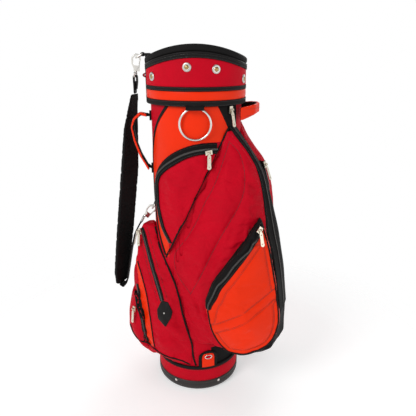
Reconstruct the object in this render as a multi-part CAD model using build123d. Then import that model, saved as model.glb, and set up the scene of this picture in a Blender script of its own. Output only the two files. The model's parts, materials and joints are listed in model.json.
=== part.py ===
"""Golf cart bag that stands on its own base: tube, collar, pockets, zips, handles, ring and shoulder strap.

Frame: millimetres, origin at the centre of the flat bottom, +Z up, the bag's front face towards -Y.
Angles round the bag start at the front (-Y) and grow towards +X, so 90 is the right side and -90 the left.
"""
from build123d import *
from math import cos, radians, sin
import os

# ---- Driving dimensions -------------------------------------------------------------------------
COVER_OUT, COVER_THICK = 108.0, 3.2            # fabric cover of the body tube
LINER_OUT, LINER_THICK = 104.5, 3.0            # stiff tube inside the cover
SKIN_GAP = 0.3                                 # air between neighbouring layers
BASE_OUT, BASE_HEIGHT, BASE_FLOOR = 111.5, 30.0, 6.0
BASE_FOOT = 98.0                               # radius of the flat the bag stands on
BAND_TOP, PIPING_TOP = 67.0, 77.0              # red band and black piping over the base
COLLAR_LOW = 752.0                             # lower edge of the collar
LOWER_TAPE_TOP, ORANGE_TOP, UPPER_TAPE_TOP = 764.0, 784.0, 793.0
COLLAR_CORE = 114.5                            # outer radius of the moulded collar
WRAP_THICK = 2.7
RIM_TOP, RIM_HEIGHT, RIM_OUT, RIM_IN = 880.0, 28.0, 119.0, 101.8
SADDLE_RADIUS = 276.0                          # the rim dips at both sides, cut by a level cylinder
DIVIDER_SEAT, DIVIDER_TOP = 775.0, 830.0
BAR_WIDTH, ROW_PITCH = 12.0, 33.0
SLEEVE_THICK = 1.2
SNAP_ANGLES = (-157, -128, -55, -8, 23, 68, 113, 158)
SNAP_RADIUS, SNAP_THICK = 10.0, 2.4
RING_RADIUS, RING_WIRE = 34.5, 2.5             # towel ring, to the middle of its wire
RING_PIVOT_Z = 748.5
TAPE_THICK = 2.0                               # zip tape
SLIDER_LENGTH, SLIDER_WIDTH, SLIDER_THICK = 16.0, 10.0, 3.0
SLIDER_LIFT = 2.5                              # underside of a slider above the pocket's face
PIVOT_LIFT = 7.7                               # hinge line of a pull above the pocket's face
PULL_LENGTH, PULL_WIDTH, PULL_THICK = 38.0, 9.0, 1.6
PIN_RADIUS, PIN_GAP = 1.0, 0.05
STRAP_Y = 30.0                                 # the strap hangs a little behind the bag's side
UPPER_WIRE = Vector(-143, STRAP_Y, 851)        # where the upper hook hangs on its ring
LOWER_WIRE = Vector(-119, STRAP_Y, 474)
HOOK_THICK, HOOK_WIRE = 5.0, 4.0
HANDLE_ANGLE = -84.0
HANDLE_THICK, HANDLE_WIDTH = 7.0, 25.0
LIFT_THICK, LIFT_LOW, LIFT_HIGH = 8.0, 722.0, 744.0
FAR = 500.0

# Outlines of the pockets at several heights, going round from the front edge to the back edge.
MAIN_POCKET = [
    (95, [(66, -86), (85, -96), (112, -106), (145, -98), (180, -45), (165, 8), (92, 52)]),
    (121, [(62, -91), (82, -104), (115, -128), (170, -120), (222, -55), (202, 8), (94, 54)]),
    (160, [(-21, -109), (40, -134), (115, -157), (186, -146), (232, -60), (210, 10), (95, 56)]),
    (250, [(-38, -104), (35, -150), (120, -172), (206, -138), (231, -60), (212, 12), (95, 56)]),
    (350, [(-65, -89), (0, -138), (95, -162), (192, -133), (220, -60), (206, 8), (97, 50)]),
    (450, [(-48, -98), (30, -138), (115, -150), (167, -118), (203, -60), (192, 0), (100, 38)]),
    (540, [(-6, -110), (60, -131), (120, -125), (157, -95), (180, -60), (170, -18), (106, 10)]),
    (617, [(33, -104), (70, -114), (112, -107), (138, -92), (151, -70), (146, -48), (110, -32)]),
    (656, [(50, -96), (75, -100), (98, -97), (114, -90), (122, -75), (124, -55), (108, -40)]),
    (698, [(66, -86), (72, -87), (79, -84), (84, -78), (88, -72), (89, -66), (86, -64)]),
]
SIDE_POCKET = [
    (95, [(92, 56), (150, 12), (158, 40), (148, 70), (125, 92), (95, 98), (55, 94)]),
    (140, [(93, 58), (212, 12), (208, 48), (186, 88), (150, 110), (105, 115), (48, 98)]),
    (250, [(93, 58), (216, 12), (214, 50), (192, 92), (155, 116), (108, 120), (48, 98)]),
    (350, [(95, 52), (210, 8), (212, 45), (192, 88), (155, 112), (108, 118), (50, 97)]),
    (450, [(98, 40), (198, 0), (204, 30), (192, 70), (158, 100), (112, 110), (56, 94)]),
    (540, [(104, 12), (178, -32), (189, 5), (182, 48), (155, 84), (115, 100), (66, 88)]),
    (617, [(108, -30), (157, -52), (167, -20), (165, 25), (148, 62), (118, 84), (76, 80)]),
    (656, [(107, -38), (131, -52), (146, -20), (146, 20), (133, 50), (112, 70), (82, 75)]),
    (700, [(108, -12), (117, -10), (121, 10), (116, 30), (108, 45), (100, 55), (92, 58)]),
]
LEFT_POCKET = [
    (79, [(-20, -109), (-60, -100), (-105, -65), (-122, 0), (-112, 45), (-85, 75), (-65, 88)]),
    (100, [(-10, -110), (-70, -108), (-130, -70), (-152, 0), (-138, 55), (-100, 88), (-60, 90)]),
    (150, [(-15, -110), (-75, -113), (-150, -65), (-168, 0), (-150, 60), (-105, 95), (-60, 92)]),
    (230, [(-36, -104), (-84, -104), (-160, -52), (-170, 10), (-150, 60), (-105, 95), (-60, 92)]),
    (267, [(-42, -102), (-92, -92), (-162, -46), (-170, 12), (-148, 60), (-105, 92), (-62, 91)]),
    (345, [(-63, -90), (-116.6, -61.4), (-160, -35), (-166, 15), (-140, 55), (-105, 80), (-78, 78)]),
    (398, [(-93, -55), (-133.3, -40.5), (-150, -26), (-155, 5), (-138, 35), (-112, 55), (-92, 58)]),
    (430, [(-104, -32), (-143.4, -28), (-146, -18), (-146, 0), (-132, 15), (-115, 22), (-104, 22)]),
    (450, [(-107, -24), (-138, -26), (-139, -18), (-136, -6), (-126, 2), (-114, 4), (-104, 4)]),
]
LOW_LEFT_POCKET = [
    (80, [(-105, -60), (-122, -55), (-137, -25), (-136, 10), (-122, 40), (-105, 45)]),
    (110, [(-125, -70), (-152, -64), (-168, -30), (-168, 12), (-150, 48), (-130, 50)]),
    (154, [(-135, -75), (-168, -66), (-188, -32), (-187, 15), (-166, 52), (-140, 52)]),
    (204, [(-140, -70), (-165.2, -61.4), (-185, -30), (-184, 15), (-166, 50), (-140, 50)]),
    (262, [(-140, -48), (-162, -56), (-174, -25), (-174, 10), (-160, 40), (-140, 40)]),
]
# Front outlines, as (across, up), of the pieces that are cut from a wrapped skin.
UPPER_POCKET_OUTLINE = [(55, 668), (25, 668), (-19, 655), (-50, 648), (-78, 627), (-98, 595),
                        (-102, 530), (-93, 459), (-79, 408), (-76, 384), (11, 572)]
BALL_POCKET_OUTLINE = [(149, 505), (121, 466), (80, 414), (37, 352), (21, 302), (25, 275), (32, 233),
                       (46, 197), (75, 162), (151, 172), (178, 186), (193, 210), (201, 243),
                       (201, 268), (191, 338), (173, 432), (162, 470)]
MAIN_ZIP_OUTLINE = [(114, 656), (138, 617), (152, 574), (158, 540), (163, 500), (168, 457),
                    (181, 412), (196, 318), (205, 245), (240, 245), (225, 318), (212, 412),
                    (200, 457), (192, 500), (182, 540), (174, 574), (158, 617), (130, 656)]
BALL_ZIP_OUTLINE = [(149, 505), (121, 466), (80, 414), (37, 352), (21, 302), (34, 298), (51, 350),
                    (95, 410), (136, 460), (156, 486)]
UPPER_POCKET_DEPTH, BALL_POCKET_DEPTH = 11.0, 24.0


# ---- Helpers ------------------------------------------------------------------------------------
def polar(radius, angle, height):
    """A point at a radius, an angle round the bag and a height."""
    return Vector(radius * sin(radians(angle)), -radius * cos(radians(angle)), height)


def ring(inner, outer, low, high):
    """An upright tube between two heights."""
    up = (Align.CENTER, Align.CENTER, Align.MIN)
    return Pos(0, 0, low) * (Cylinder(outer, high - low, align=up) - Cylinder(inner, high - low, align=up))


def saddle(drop=0.0):
    """The level cylinder along Y whose top gives the rim its dip at both sides."""
    return Pos(0, 0, RIM_TOP - SADDLE_RADIUS - drop) * Rot(90, 0, 0) * Cylinder(SADDLE_RADIUS, 2 * FAR)


def sector(start, end, low, high):
    """A wedge of space between two angles round the bag."""
    middle = (start + end) / 2
    far = [polar(FAR, angle, low) for angle in (start, middle, end)]
    wire = Wire.make_polygon([Vector(0, 0, low)] + far, close=True)
    return extrude(Face(wire), high - low, dir=(0, 0, 1))


def loft_pocket(sections):
    """A closed body through outlines given at rising heights."""
    wires = [Wire.make_polygon([Vector(x, y, z) for x, y in outline], close=True) for z, outline in sections]
    return Solid.make_loft(wires, True)


def grown(sections, amount):
    """The same outlines with every point moved outwards from its outline's middle."""
    larger = []
    for height, outline in sections:
        middle = sum((Vector(x, y) for x, y in outline), Vector()) / len(outline)
        moved = [Vector(x, y) + (Vector(x, y) - middle).normalized() * amount for x, y in outline]
        larger.append((height, [(point.X, point.Y) for point in moved]))
    return larger


def front_prism(outline, near=-FAR, far=0.0):
    """An outline drawn on the front view, as a solid that runs back along Y."""
    wire = Wire.make_polygon([Vector(x, near, z) for x, z in outline], close=True)
    return extrude(Face(wire), far - near, dir=(0, 1, 0))


def front_point(shape, across, up):
    """The foremost point of a shape at a place on the front view."""
    hits = shape.find_intersection_points(Axis((across, -FAR, up), (0, 1, 0)))
    return min((point for point, _ in hits), key=lambda point: point.Y)


def ribbon(points, thick, width, radius=4.0):
    """A strap bent along points (x, z) in the XZ plane, centred on that plane."""
    path = FilletPolyline(*[(x, z) for x, z in points], radius=radius)
    return extrude(Plane.XZ * trace(path, thick), width / 2, both=True)


def closed_wire_ring(corners, radii, wire_radius):
    """A ring of round wire along a closed path with rounded corners."""
    path = FilletPolyline(*corners, radius=radii, close=True)
    start = Plane(path @ 0, z_dir=path % 0)
    return sweep(start * Circle(wire_radius), path=path)


# ---- Base and tube ------------------------------------------------------------------------------
def base_cup():
    edge = [(0, 0), (BASE_FOOT, 0), (BASE_FOOT + 8, 3), (BASE_OUT - 1, 12), (BASE_OUT, 20),
            (BASE_OUT, BASE_HEIGHT), (LINER_OUT + SKIN_GAP, BASE_HEIGHT), (LINER_OUT + SKIN_GAP, BASE_FLOOR),
            (0, BASE_FLOOR)]
    wire = Wire.make_polygon([Vector(r, 0, z) for r, z in edge], close=True)
    return revolve(Face(wire), Axis.Z)


def base_band():
    return ring(COVER_OUT + SKIN_GAP, 110.5, BASE_HEIGHT + SKIN_GAP, BAND_TOP)


def base_piping():
    return ring(COVER_OUT + SKIN_GAP, 111.5, BAND_TOP + SKIN_GAP, PIPING_TOP)


def base_rivets():
    rivets = []
    for angle in (-31, 30, 149, -150):
        place = Plane(polar(BASE_OUT + 0.9, angle, 24), z_dir=polar(1, angle, 0))
        rivets.append(place * Cylinder(3.5, 1.6))
    return Compound(rivets)


def base_tab_hole():
    """The oval eyelet near the top of the tab, as the solid that is cut away."""
    place = Plane(polar(110, 14.5, 107), x_dir=polar(1, 104.5, 0), z_dir=polar(1, 14.5, 0))
    return extrude(place * SlotOverall(20, 14), 8, both=True)


def base_tab_frame():
    frame = ring(COVER_OUT + SKIN_GAP, 110.4, PIPING_TOP + SKIN_GAP, 119) & sector(1, 30, 70, 130)
    return frame - base_tab_hole()


def base_tab():
    tongue = ring(110.7, 113.2, PIPING_TOP + SKIN_GAP, 117) & sector(4.5, 24, 70, 130)
    return tongue - base_tab_hole()


def liner_tube():
    return ring(LINER_OUT - LINER_THICK, LINER_OUT, BASE_FLOOR, DIVIDER_SEAT)


def body_cover():
    return ring(COVER_OUT - COVER_THICK, COVER_OUT, BASE_HEIGHT + SKIN_GAP, COLLAR_LOW - SKIN_GAP)


# ---- Collar and club dividers -------------------------------------------------------------------
def top_cuff():
    return ring(LINER_OUT + SKIN_GAP, COLLAR_CORE, COLLAR_LOW, RIM_TOP) & saddle(4)


def cuff_wrap():
    return ring(COLLAR_CORE, COLLAR_CORE + WRAP_THICK, UPPER_TAPE_TOP, RIM_TOP) & saddle(RIM_HEIGHT + SKIN_GAP)


def cuff_orange_band():
    return ring(COLLAR_CORE, COLLAR_CORE + WRAP_THICK - 0.4, LOWER_TAPE_TOP, ORANGE_TOP)


def cuff_tapes():
    lower = ring(COLLAR_CORE, COLLAR_CORE + WRAP_THICK, COLLAR_LOW, LOWER_TAPE_TOP)
    upper = ring(COLLAR_CORE, COLLAR_CORE + WRAP_THICK, ORANGE_TOP, UPPER_TAPE_TOP)
    return Compound([lower, upper])


def rim_trim():
    trim = (ring(RIM_IN, RIM_OUT, COLLAR_LOW, RIM_TOP) & saddle()) - saddle(RIM_HEIGHT)
    return trim - ring(LINER_OUT, COLLAR_CORE + SKIN_GAP, COLLAR_LOW, RIM_TOP - 4)


def divider_top():
    """Two rows of bars and a middle bar, on a hoop that sits on the liner: six club openings."""
    hoop_in = LINER_OUT - LINER_THICK
    height = DIVIDER_TOP - DIVIDER_SEAT
    middle = DIVIDER_SEAT + height / 2
    bars = Pos(0, 0, middle) * Box(BAR_WIDTH, 2 * LINER_OUT, height)
    for row in (-ROW_PITCH, ROW_PITCH):
        bars += Pos(0, row, middle) * Box(2 * LINER_OUT, BAR_WIDTH, height)
    bars &= ring(0.01, hoop_in + 1, DIVIDER_SEAT, DIVIDER_TOP) + Pos(0, 0, middle) * Box(4, 4, height)
    return bars + ring(hoop_in, LINER_OUT, DIVIDER_SEAT, DIVIDER_TOP)


def divider_sleeves():
    """Full-length panels under the bars that keep the clubs apart."""
    low, high = BASE_FLOOR + 2, DIVIDER_SEAT - 0.5
    middle, height = (low + high) / 2, high - low
    reach = LINER_OUT - LINER_THICK - 2
    panels = [Pos(0, 0, middle) * Box(SLEEVE_THICK, 2 * reach, height)]
    half = (reach ** 2 - (ROW_PITCH + 1) ** 2) ** 0.5
    for side in (-1, 1):
        for row in (-ROW_PITCH, ROW_PITCH):
            panels.append(Pos(side * (half / 2 + 1), row, middle) * Box(half - 2, SLEEVE_THICK, height))
    return Compound(panels)


def cuff_snaps():
    """Press studs for the rain hood, set round the collar and following the rim's dip."""
    snaps = []
    for angle in SNAP_ANGLES:
        height = 818 + 16 * cos(radians(2 * angle))
        out = polar(1, angle, 0)
        washer = Plane(polar(COLLAR_CORE + WRAP_THICK + SNAP_THICK / 2 + 0.05, angle, height), z_dir=out)
        snaps.append(washer * Cylinder(SNAP_RADIUS, SNAP_THICK))
    return Compound(snaps)


# ---- Pockets ------------------------------------------------------------------------------------
TUBE_SPACE = Pos(0, 0, 400) * Cylinder(COVER_OUT + 0.1, 900)


def main_pocket():
    return loft_pocket(MAIN_POCKET) - TUBE_SPACE


def side_pocket(main):
    return loft_pocket(SIDE_POCKET) - TUBE_SPACE - main


def left_pocket(main):
    return loft_pocket(LEFT_POCKET) - TUBE_SPACE - main


def low_left_pocket(left):
    return loft_pocket(LOW_LEFT_POCKET) - TUBE_SPACE - left


def upper_pocket(main):
    skin = ring(COVER_OUT + 0.1, COVER_OUT + UPPER_POCKET_DEPTH, 370, 680)
    return (skin & front_prism(UPPER_POCKET_OUTLINE)) - main


def ball_pocket(main):
    return (loft_pocket(grown(MAIN_POCKET, BALL_POCKET_DEPTH)) & front_prism(BALL_POCKET_OUTLINE, far=-116)) - main


def solid_parts(shape, least=50.0):
    """The shape without crumbs that a cut may leave."""
    kept = [solid for solid in shape.solids() if solid.volume > least]
    return kept[0] if len(kept) == 1 else Compound(kept)


# ---- Zips ---------------------------------------------------------------------------------------
class Zip:
    """A straight run of zip: its tape, its slider and the pull that hangs on the slider."""

    def __init__(self, start, end, outward, width=16.0, overrun=8.0, lean=0.0):
        self.start, self.end = Vector(*start), Vector(*end)
        along = (self.end - self.start).normalized()
        normal = (Vector(*outward) - along * Vector(*outward).dot(along)).normalized()
        self.plane = Plane(self.start, x_dir=along, z_dir=normal)
        self.normal, self.length = normal, (self.end - self.start).length
        self.width, self.overrun = width, overrun
        hang = Vector(normal.X, normal.Y, max(normal.Z, lean)).normalized()
        self.hinge_axis = hang.cross(Vector(0, 0, 1)).normalized()
        self.pivot = self.start + normal * PIVOT_LIFT
        self.pull_plane = Plane(self.pivot, x_dir=hang.cross(self.hinge_axis), z_dir=hang)

    def tape(self, *neighbours):
        sunk = 4.0
        size = Box(self.length + 2 * self.overrun, self.width, TAPE_THICK + sunk)
        strip = self.plane * Pos(self.length / 2, 0, (TAPE_THICK - sunk) / 2) * size
        strip = strip - TUBE_SPACE
        for neighbour in neighbours:
            strip = strip - neighbour
        return strip

    def slider(self):
        body = self.plane * Pos(0, 0, SLIDER_LIFT + SLIDER_THICK / 2) * Box(
            SLIDER_LENGTH, SLIDER_WIDTH, SLIDER_THICK)
        lug_height = PIVOT_LIFT - SLIDER_LIFT - SLIDER_THICK + 2.2
        for side in (-1, 1):
            lug = Pos(0, side * 3.2, 2.2 - lug_height / 2) * Box(4.6, 1.6, lug_height)
            body += self.pull_plane * lug
        return body - self.pull_plane * Rot(90, 0, 0) * Cylinder(PIN_RADIUS + PIN_GAP, 12)

    def pull(self):
        pin = Rot(90, 0, 0) * Cylinder(PIN_RADIUS, 8.6)
        knuckle = Rot(90, 0, 0) * Cylinder(1.8, 4.2)
        neck = Pos(4, 0, 0) * Box(8, 4.2, PULL_THICK)
        outline = SlotOverall(PULL_LENGTH - 7, PULL_WIDTH) - Pos(PULL_LENGTH / 2 - 9, 0) * Circle(2.2)
        plate = Pos(7 + (PULL_LENGTH - 7) / 2, 0, -PULL_THICK / 2) * extrude(outline, PULL_THICK)
        return self.pull_plane * (pin + knuckle + neck + plate)

    def tell(self, name):
        """Print where the slider's travel and the pull's hinge lie, for the record."""
        along = self.plane.x_dir
        print(f"{name}: slide axis ({along.X:.4f}, {along.Y:.4f}, {along.Z:.4f}) length {self.length:.1f}; "
              f"pull pivot ({self.pivot.X:.2f}, {self.pivot.Y:.2f}, {self.pivot.Z:.2f}) "
              f"axis ({self.hinge_axis.X:.4f}, {self.hinge_axis.Y:.4f}, {self.hinge_axis.Z:.4f})")


def main_zip():
    return Zip(polar(COVER_OUT, 45, 742), polar(COVER_OUT, 45, 712), polar(1, 45, 0), 22, 6, lean=0.2)


def main_zip_tape(zip_run, main, side, ball):
    """The strip beside the main pocket's face, and its straight top end on the tube."""
    skin = loft_pocket(grown(MAIN_POCKET, 2.4)) & front_prism(MAIN_ZIP_OUTLINE, far=-66)
    flank = skin - main - side - ball - TUBE_SPACE
    return Compound([solid_parts(flank), solid_parts(zip_run.tape(main, side))])


def left_front_zip():
    return Zip((-143.4, -28, 430), (-95, -88.3, 276.5), (-0.72, -0.62, 0.3), 14, 6)


def left_rear_zip():
    return Zip((-150, -8, 419), (-165, 7, 356), (-0.95, 0.1, 0.25), 14, 4)


def low_left_zip():
    return Zip((-164.1, -59.8, 222), (-167.6, -65.4, 160), (-0.72, -0.7, 0.0), 12, 12)


def side_zip():
    return Zip((160, -51, 611), (177, -36, 552), (0.78, -0.6, 0.2), 14, 8, lean=0.36)


def ball_zip_tape(main, ball):
    skin = loft_pocket(grown(MAIN_POCKET, BALL_POCKET_DEPTH + TAPE_THICK))
    return (skin & front_prism(BALL_ZIP_OUTLINE, far=-116)) - main - ball


def ball_zip(tape):
    top, low = front_point(tape, 143, 482), front_point(tape, 119, 452)
    return Zip(top, low, (0.45, -1, 0.3))


# The upper pocket's zip runs round the tube on a tilted circle, so its slider turns about a tilted axis.
ARC_AXIS = Vector(-0.2, 0.25, 1).normalized()
ARC_CENTRE = Vector(0, 0, 619.2)
UPPER_ZIP_ANGLE = 14.0


def upper_zip():
    start = polar(COVER_OUT + UPPER_POCKET_DEPTH, UPPER_ZIP_ANGLE, 653)
    along = ARC_AXIS.cross(start - ARC_CENTRE) * -0.05
    return Zip(start, start + along, polar(1, UPPER_ZIP_ANGLE, 0), 14, 4)


def upper_zip_tape(main):
    radius = COVER_OUT + UPPER_POCKET_DEPTH
    slab = Plane(ARC_CENTRE, z_dir=ARC_AXIS) * Box(2 * FAR, 2 * FAR, 16)
    band = (ring(radius + 0.1, radius + 2.1, 560, 690) & slab) & sector(-42, 24, 500, 720)
    return band - main


def leather_patch():
    place = Plane(front_point(LEFT_SOLID, -80, 238), x_dir=(1, -0.1, 0), z_dir=(-0.35, -1, 0.25))
    lozenge = Polygon((-18, 30), (16, 30), (20, -4), (0, -34), (-20, -6), align=None)
    return place * extrude(lozenge, 4) - LEFT_SOLID - LEFT_TAPE


# ---- Towel ring ---------------------------------------------------------------------------------
RING_PIVOT = Vector(0, -(COVER_OUT + SKIN_GAP + RING_WIRE + 0.5), RING_PIVOT_Z)


def towel_ring():
    return Pos(*RING_PIVOT) * Pos(0, 0, -RING_RADIUS) * Rot(90, 0, 0) * Torus(RING_RADIUS, RING_WIRE)


def towel_ring_tab():
    """A bulged webbing loop sewn over the top of the ring, open inside so the ring can swing."""
    inside, outside = 11.2, 12.8
    loop = Rot(0, 90, 0) * (Cylinder(outside, 41) - Cylinder(inside, 60))
    loop = Pos(RING_PIVOT.X, RING_PIVOT.Y, RING_PIVOT.Z - 5) * loop
    upper_half = Pos(0, -140, RING_PIVOT.Z + 20) * Box(60, 100, 48)
    space = Pos(0, 0, RING_PIVOT.Z) * Cylinder(COVER_OUT + SKIN_GAP, 40)
    return (loop & upper_half) - space - ring(COVER_OUT, COLLAR_CORE + WRAP_THICK + 0.4, COLLAR_LOW - 0.3, RIM_TOP)


# ---- Handles ------------------------------------------------------------------------------------
HANDLE_PLANE = Plane((0, 0, 0), x_dir=polar(1, HANDLE_ANGLE, 0), z_dir=polar(1, HANDLE_ANGLE - 90, 0))


def carry_handle():
    points = [(117.5, 722), (134, 726), (149, 712), (154, 694), (149, 664), (137, 628), (117.5, 591)]
    strip = trace(FilletPolyline(*points, radius=6), HANDLE_THICK)
    return extrude(HANDLE_PLANE * strip, HANDLE_WIDTH / 2, both=True) & ring(117.5, 200, 550, 760)


def handle_anchors():
    anchors = []
    for height in (721, 593):
        block = Pos(110, height, 0) * Box(8, 22, 16)
        anchors.append((HANDLE_PLANE * block & ring(COVER_OUT + SKIN_GAP, 112.6, 560, 750)))
    return Compound([anchor.solids()[0] for anchor in anchors])


def lift_handle():
    """A padded loop at the collar's lower right edge."""
    path = FilletPolyline((100, -64), (134, -40), (146, -14), (146, 14), (134, 40), (100, 64), radius=12)
    loop = extrude(trace(path, LIFT_THICK), LIFT_HIGH - LIFT_LOW)
    return Pos(0, 0, LIFT_LOW) * loop & ring(COLLAR_CORE + 4.5, 200, 700, 760)


# ---- Shoulder strap -----------------------------------------------------------------------------
def hook_place(wire, foot):
    """Plane whose Y runs from the hook's foot to the ring it hangs on; the hook lies in that plane."""
    up = (wire - foot).normalized()
    return Plane(foot, x_dir=up.cross(Vector(0, -1, 0)), z_dir=Vector(0, -1, 0))


HOOK_REACH = 33.5                              # foot of a hook to the middle of the ring's wire
GATE_PIVOT = (7.6, 14.5)
UPPER_FOOT = UPPER_WIRE + (Vector(-148, STRAP_Y, 800) - UPPER_WIRE).normalized() * HOOK_REACH
LOWER_FOOT = LOWER_WIRE + (Vector(-150, STRAP_Y, 440) - LOWER_WIRE).normalized() * HOOK_REACH


def snap_hook(wire, foot):
    place = hook_place(wire, foot)
    bow = trace(FilletPolyline((-2, 8), (-8.5, 20), (-9.5, 32), (-2, 41.5), (7, 40), (9.5, 31), (9, 27.8),
                               radius=2.5), HOOK_WIRE)
    body = extrude(bow, HOOK_THICK / 2, both=True)
    body += Pos(2.5, 9.5, 0) * Box(14, 13, HOOK_THICK)
    body -= Pos(8, 14, 0) * Box(12, 14, 2.2)
    body -= Pos(GATE_PIVOT[0], GATE_PIVOT[1], 0) * Cylinder(PIN_RADIUS + PIN_GAP, 20)
    body += Pos(0, 0.5, 0) * Rot(90, 0, 0) * Cylinder(3.2, 7)
    loop = closed_wire_ring([(-5, 0, -17), (5, 0, -17), (5, 0, 17), (-5, 0, 17)], [3, 3, 3, 3], 2.0)
    body += Pos(0, -5, 0) * Rot(0, 0, 90) * loop
    return place * body


def hook_gate(wire, foot):
    place = hook_place(wire, foot)
    bar = Pos(GATE_PIVOT[0] + 0.7, GATE_PIVOT[1] + 6, 0) * Rot(0, 0, -4) * Box(2.8, 12.4, 1.6)
    pin = Pos(GATE_PIVOT[0], GATE_PIVOT[1], 0) * Cylinder(PIN_RADIUS, HOOK_THICK)
    return place * (bar + pin)


def d_ring(wire, bar_middle, width):
    """A ring with a straight bar at bar_middle, whose round end passes the given wire point."""
    out = (wire - bar_middle).normalized()
    depth = (wire - bar_middle).length
    place = Plane(bar_middle, x_dir=out, z_dir=out.cross(Vector(0, 1, 0)))
    half = width / 2
    corners = [(0, -half, 0), (depth, -half, 0), (depth, half, 0), (0, half, 0)]
    large = min(depth, half) * 0.62
    return place * closed_wire_ring(corners, [3, large, large, 3], 2.0)


UPPER_BAR, LOWER_BAR = Vector(-127, STRAP_Y, 859), Vector(-110.5, STRAP_Y, 487)


def d_ring_tabs():
    """Webbing loops that hold the two rings: one over the collar's edge, one low on the tube."""
    turned = sector(-113, -97, 700, 900)
    upper = ring(RIM_OUT + 0.4, RIM_OUT + 2.4, COLLAR_LOW - 2, 862) & turned
    grip = Pos(*UPPER_BAR) * Rot(90, 0, 0) * Cylinder(5.0, 20) + Pos(-123, STRAP_Y, 857) * Box(10, 20, 3)
    grip -= Pos(*UPPER_BAR) * Rot(90, 0, 0) * Cylinder(2.6, 30)
    grip -= ring(0.01, RIM_OUT + 0.4, 700, 900)
    lower = Pos(*LOWER_BAR) * Rot(90, 0, 0) * (Cylinder(4.6, 18) - Cylinder(2.4, 30))
    lower += Pos(-107, STRAP_Y, 500) * Box(6, 18, 26)
    lower -= Pos(*LOWER_BAR) * Rot(90, 0, 0) * Cylinder(2.4, 30)
    lower -= TUBE_SPACE
    return Compound([solid_parts(upper + grip), solid_parts(lower)])


def pad_section(height, across, width, thick, turn):
    """One cross-section of the shoulder pad: a flat rectangle turned about the upright."""
    plane = Plane((across, STRAP_Y, height), x_dir=(cos(radians(turn)), sin(radians(turn)), 0), z_dir=(0, 0, 1))
    return (plane * Rectangle(width, thick)).faces()[0].outer_wire()


def strap_pad():
    sections = [(268, -214, 48, 7, 62), (300, -210, 54, 9, 55), (420, -194, 56, 10, 50), (582, -173, 56, 10, 52),
                (682, -165, 50, 9, 58), (731, -158, 42, 6, 66), (768, -151, 36, 4, 74)]
    return Solid.make_loft([pad_section(*section) for section in sections], True)


def strap_webbing():
    top = Pos((UPPER_FOOT.X - 1.5 - 151) / 2, STRAP_Y, 783) * Box(5, 28, 28.5)
    low = [(-215, 267.6), (-217, 252), (-208, 245), (-198, 258), (-190, 300), (-181, 350), (-169, 402),
           (-152, 434), (-143.5, 443.5)]
    return Compound([top.solids()[0], (Pos(0, STRAP_Y, 0) * ribbon(low, 3, 34, 3)).solids()[0]])


# ---- Build and write ----------------------------------------------------------------------------
MAIN_SOLID = solid_parts(main_pocket())
SIDE_SOLID = solid_parts(side_pocket(MAIN_SOLID))
LEFT_SOLID = solid_parts(left_pocket(MAIN_SOLID))
LOW_LEFT_SOLID = solid_parts(low_left_pocket(LEFT_SOLID))
UPPER_SOLID = solid_parts(upper_pocket(MAIN_SOLID) - LEFT_SOLID)
BALL_SOLID = solid_parts(ball_pocket(MAIN_SOLID))
BALL_TAPE = solid_parts(ball_zip_tape(MAIN_SOLID, BALL_SOLID))
ZIPS = {
    "main": main_zip(), "upper": upper_zip(), "left_front": left_front_zip(), "left_rear": left_rear_zip(),
    "low_left": low_left_zip(), "side": side_zip(), "ball": ball_zip(BALL_TAPE),
}
LEFT_TAPE = Compound([
    solid_parts(ZIPS["left_front"].tape(LEFT_SOLID)),
    solid_parts(ZIPS["left_rear"].tape(LEFT_SOLID, LOW_LEFT_SOLID) - ZIPS["left_front"].tape(LEFT_SOLID)),
])
PARTS = {
    "base_cup": base_cup(), "base_band": base_band(), "base_piping": base_piping(), "base_rivets": base_rivets(),
    "base_tab_frame": base_tab_frame(), "base_tab": base_tab(), "liner_tube": liner_tube(),
    "body_cover": body_cover(), "top_cuff": top_cuff(), "cuff_wrap": cuff_wrap(),
    "cuff_orange_band": cuff_orange_band(), "cuff_tapes": cuff_tapes(), "rim_trim": rim_trim(),
    "divider_top": divider_top(), "divider_sleeves": divider_sleeves(), "cuff_snaps": cuff_snaps(),
    "main_pocket": MAIN_SOLID, "side_pocket": SIDE_SOLID, "left_pocket": LEFT_SOLID,
    "low_left_pocket": LOW_LEFT_SOLID, "upper_pocket": UPPER_SOLID, "ball_pocket": BALL_SOLID,
    "main_zip_tape": main_zip_tape(ZIPS["main"], MAIN_SOLID, SIDE_SOLID, BALL_SOLID),
    "upper_zip_tape": solid_parts(upper_zip_tape(MAIN_SOLID)),
    "left_zip_tape": LEFT_TAPE,
    "low_left_zip_tape": solid_parts(ZIPS["low_left"].tape(LEFT_SOLID, LOW_LEFT_SOLID)),
    "side_zip_tape": solid_parts(ZIPS["side"].tape(MAIN_SOLID, SIDE_SOLID)),
    "ball_zip_tape": BALL_TAPE,
    "leather_patch": solid_parts(leather_patch()),
    "towel_ring": towel_ring(), "towel_ring_tab": solid_parts(towel_ring_tab()),
    "carry_handle": solid_parts(carry_handle()), "handle_anchors": handle_anchors(),
    "lift_handle": solid_parts(lift_handle()),
    "upper_d_ring": d_ring(UPPER_WIRE, UPPER_BAR, 26), "lower_d_ring": d_ring(LOWER_WIRE, LOWER_BAR, 24),
    "d_ring_tabs": d_ring_tabs(), "strap_pad": strap_pad(), "strap_webbing": strap_webbing(),
    "upper_hook": snap_hook(UPPER_WIRE, UPPER_FOOT), "upper_hook_gate": hook_gate(UPPER_WIRE, UPPER_FOOT),
    "lower_hook": snap_hook(LOWER_WIRE, LOWER_FOOT), "lower_hook_gate": hook_gate(LOWER_WIRE, LOWER_FOOT),
}
for zip_name, zip_run in ZIPS.items():
    PARTS[f"{zip_name}_slider"] = zip_run.slider()
    PARTS[f"{zip_name}_pull"] = zip_run.pull()
    zip_run.tell(zip_name)

os.makedirs("parts", exist_ok=True)
for part_name, shape in PARTS.items():
    export_step(shape, f"parts/{part_name}.step")
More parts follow.
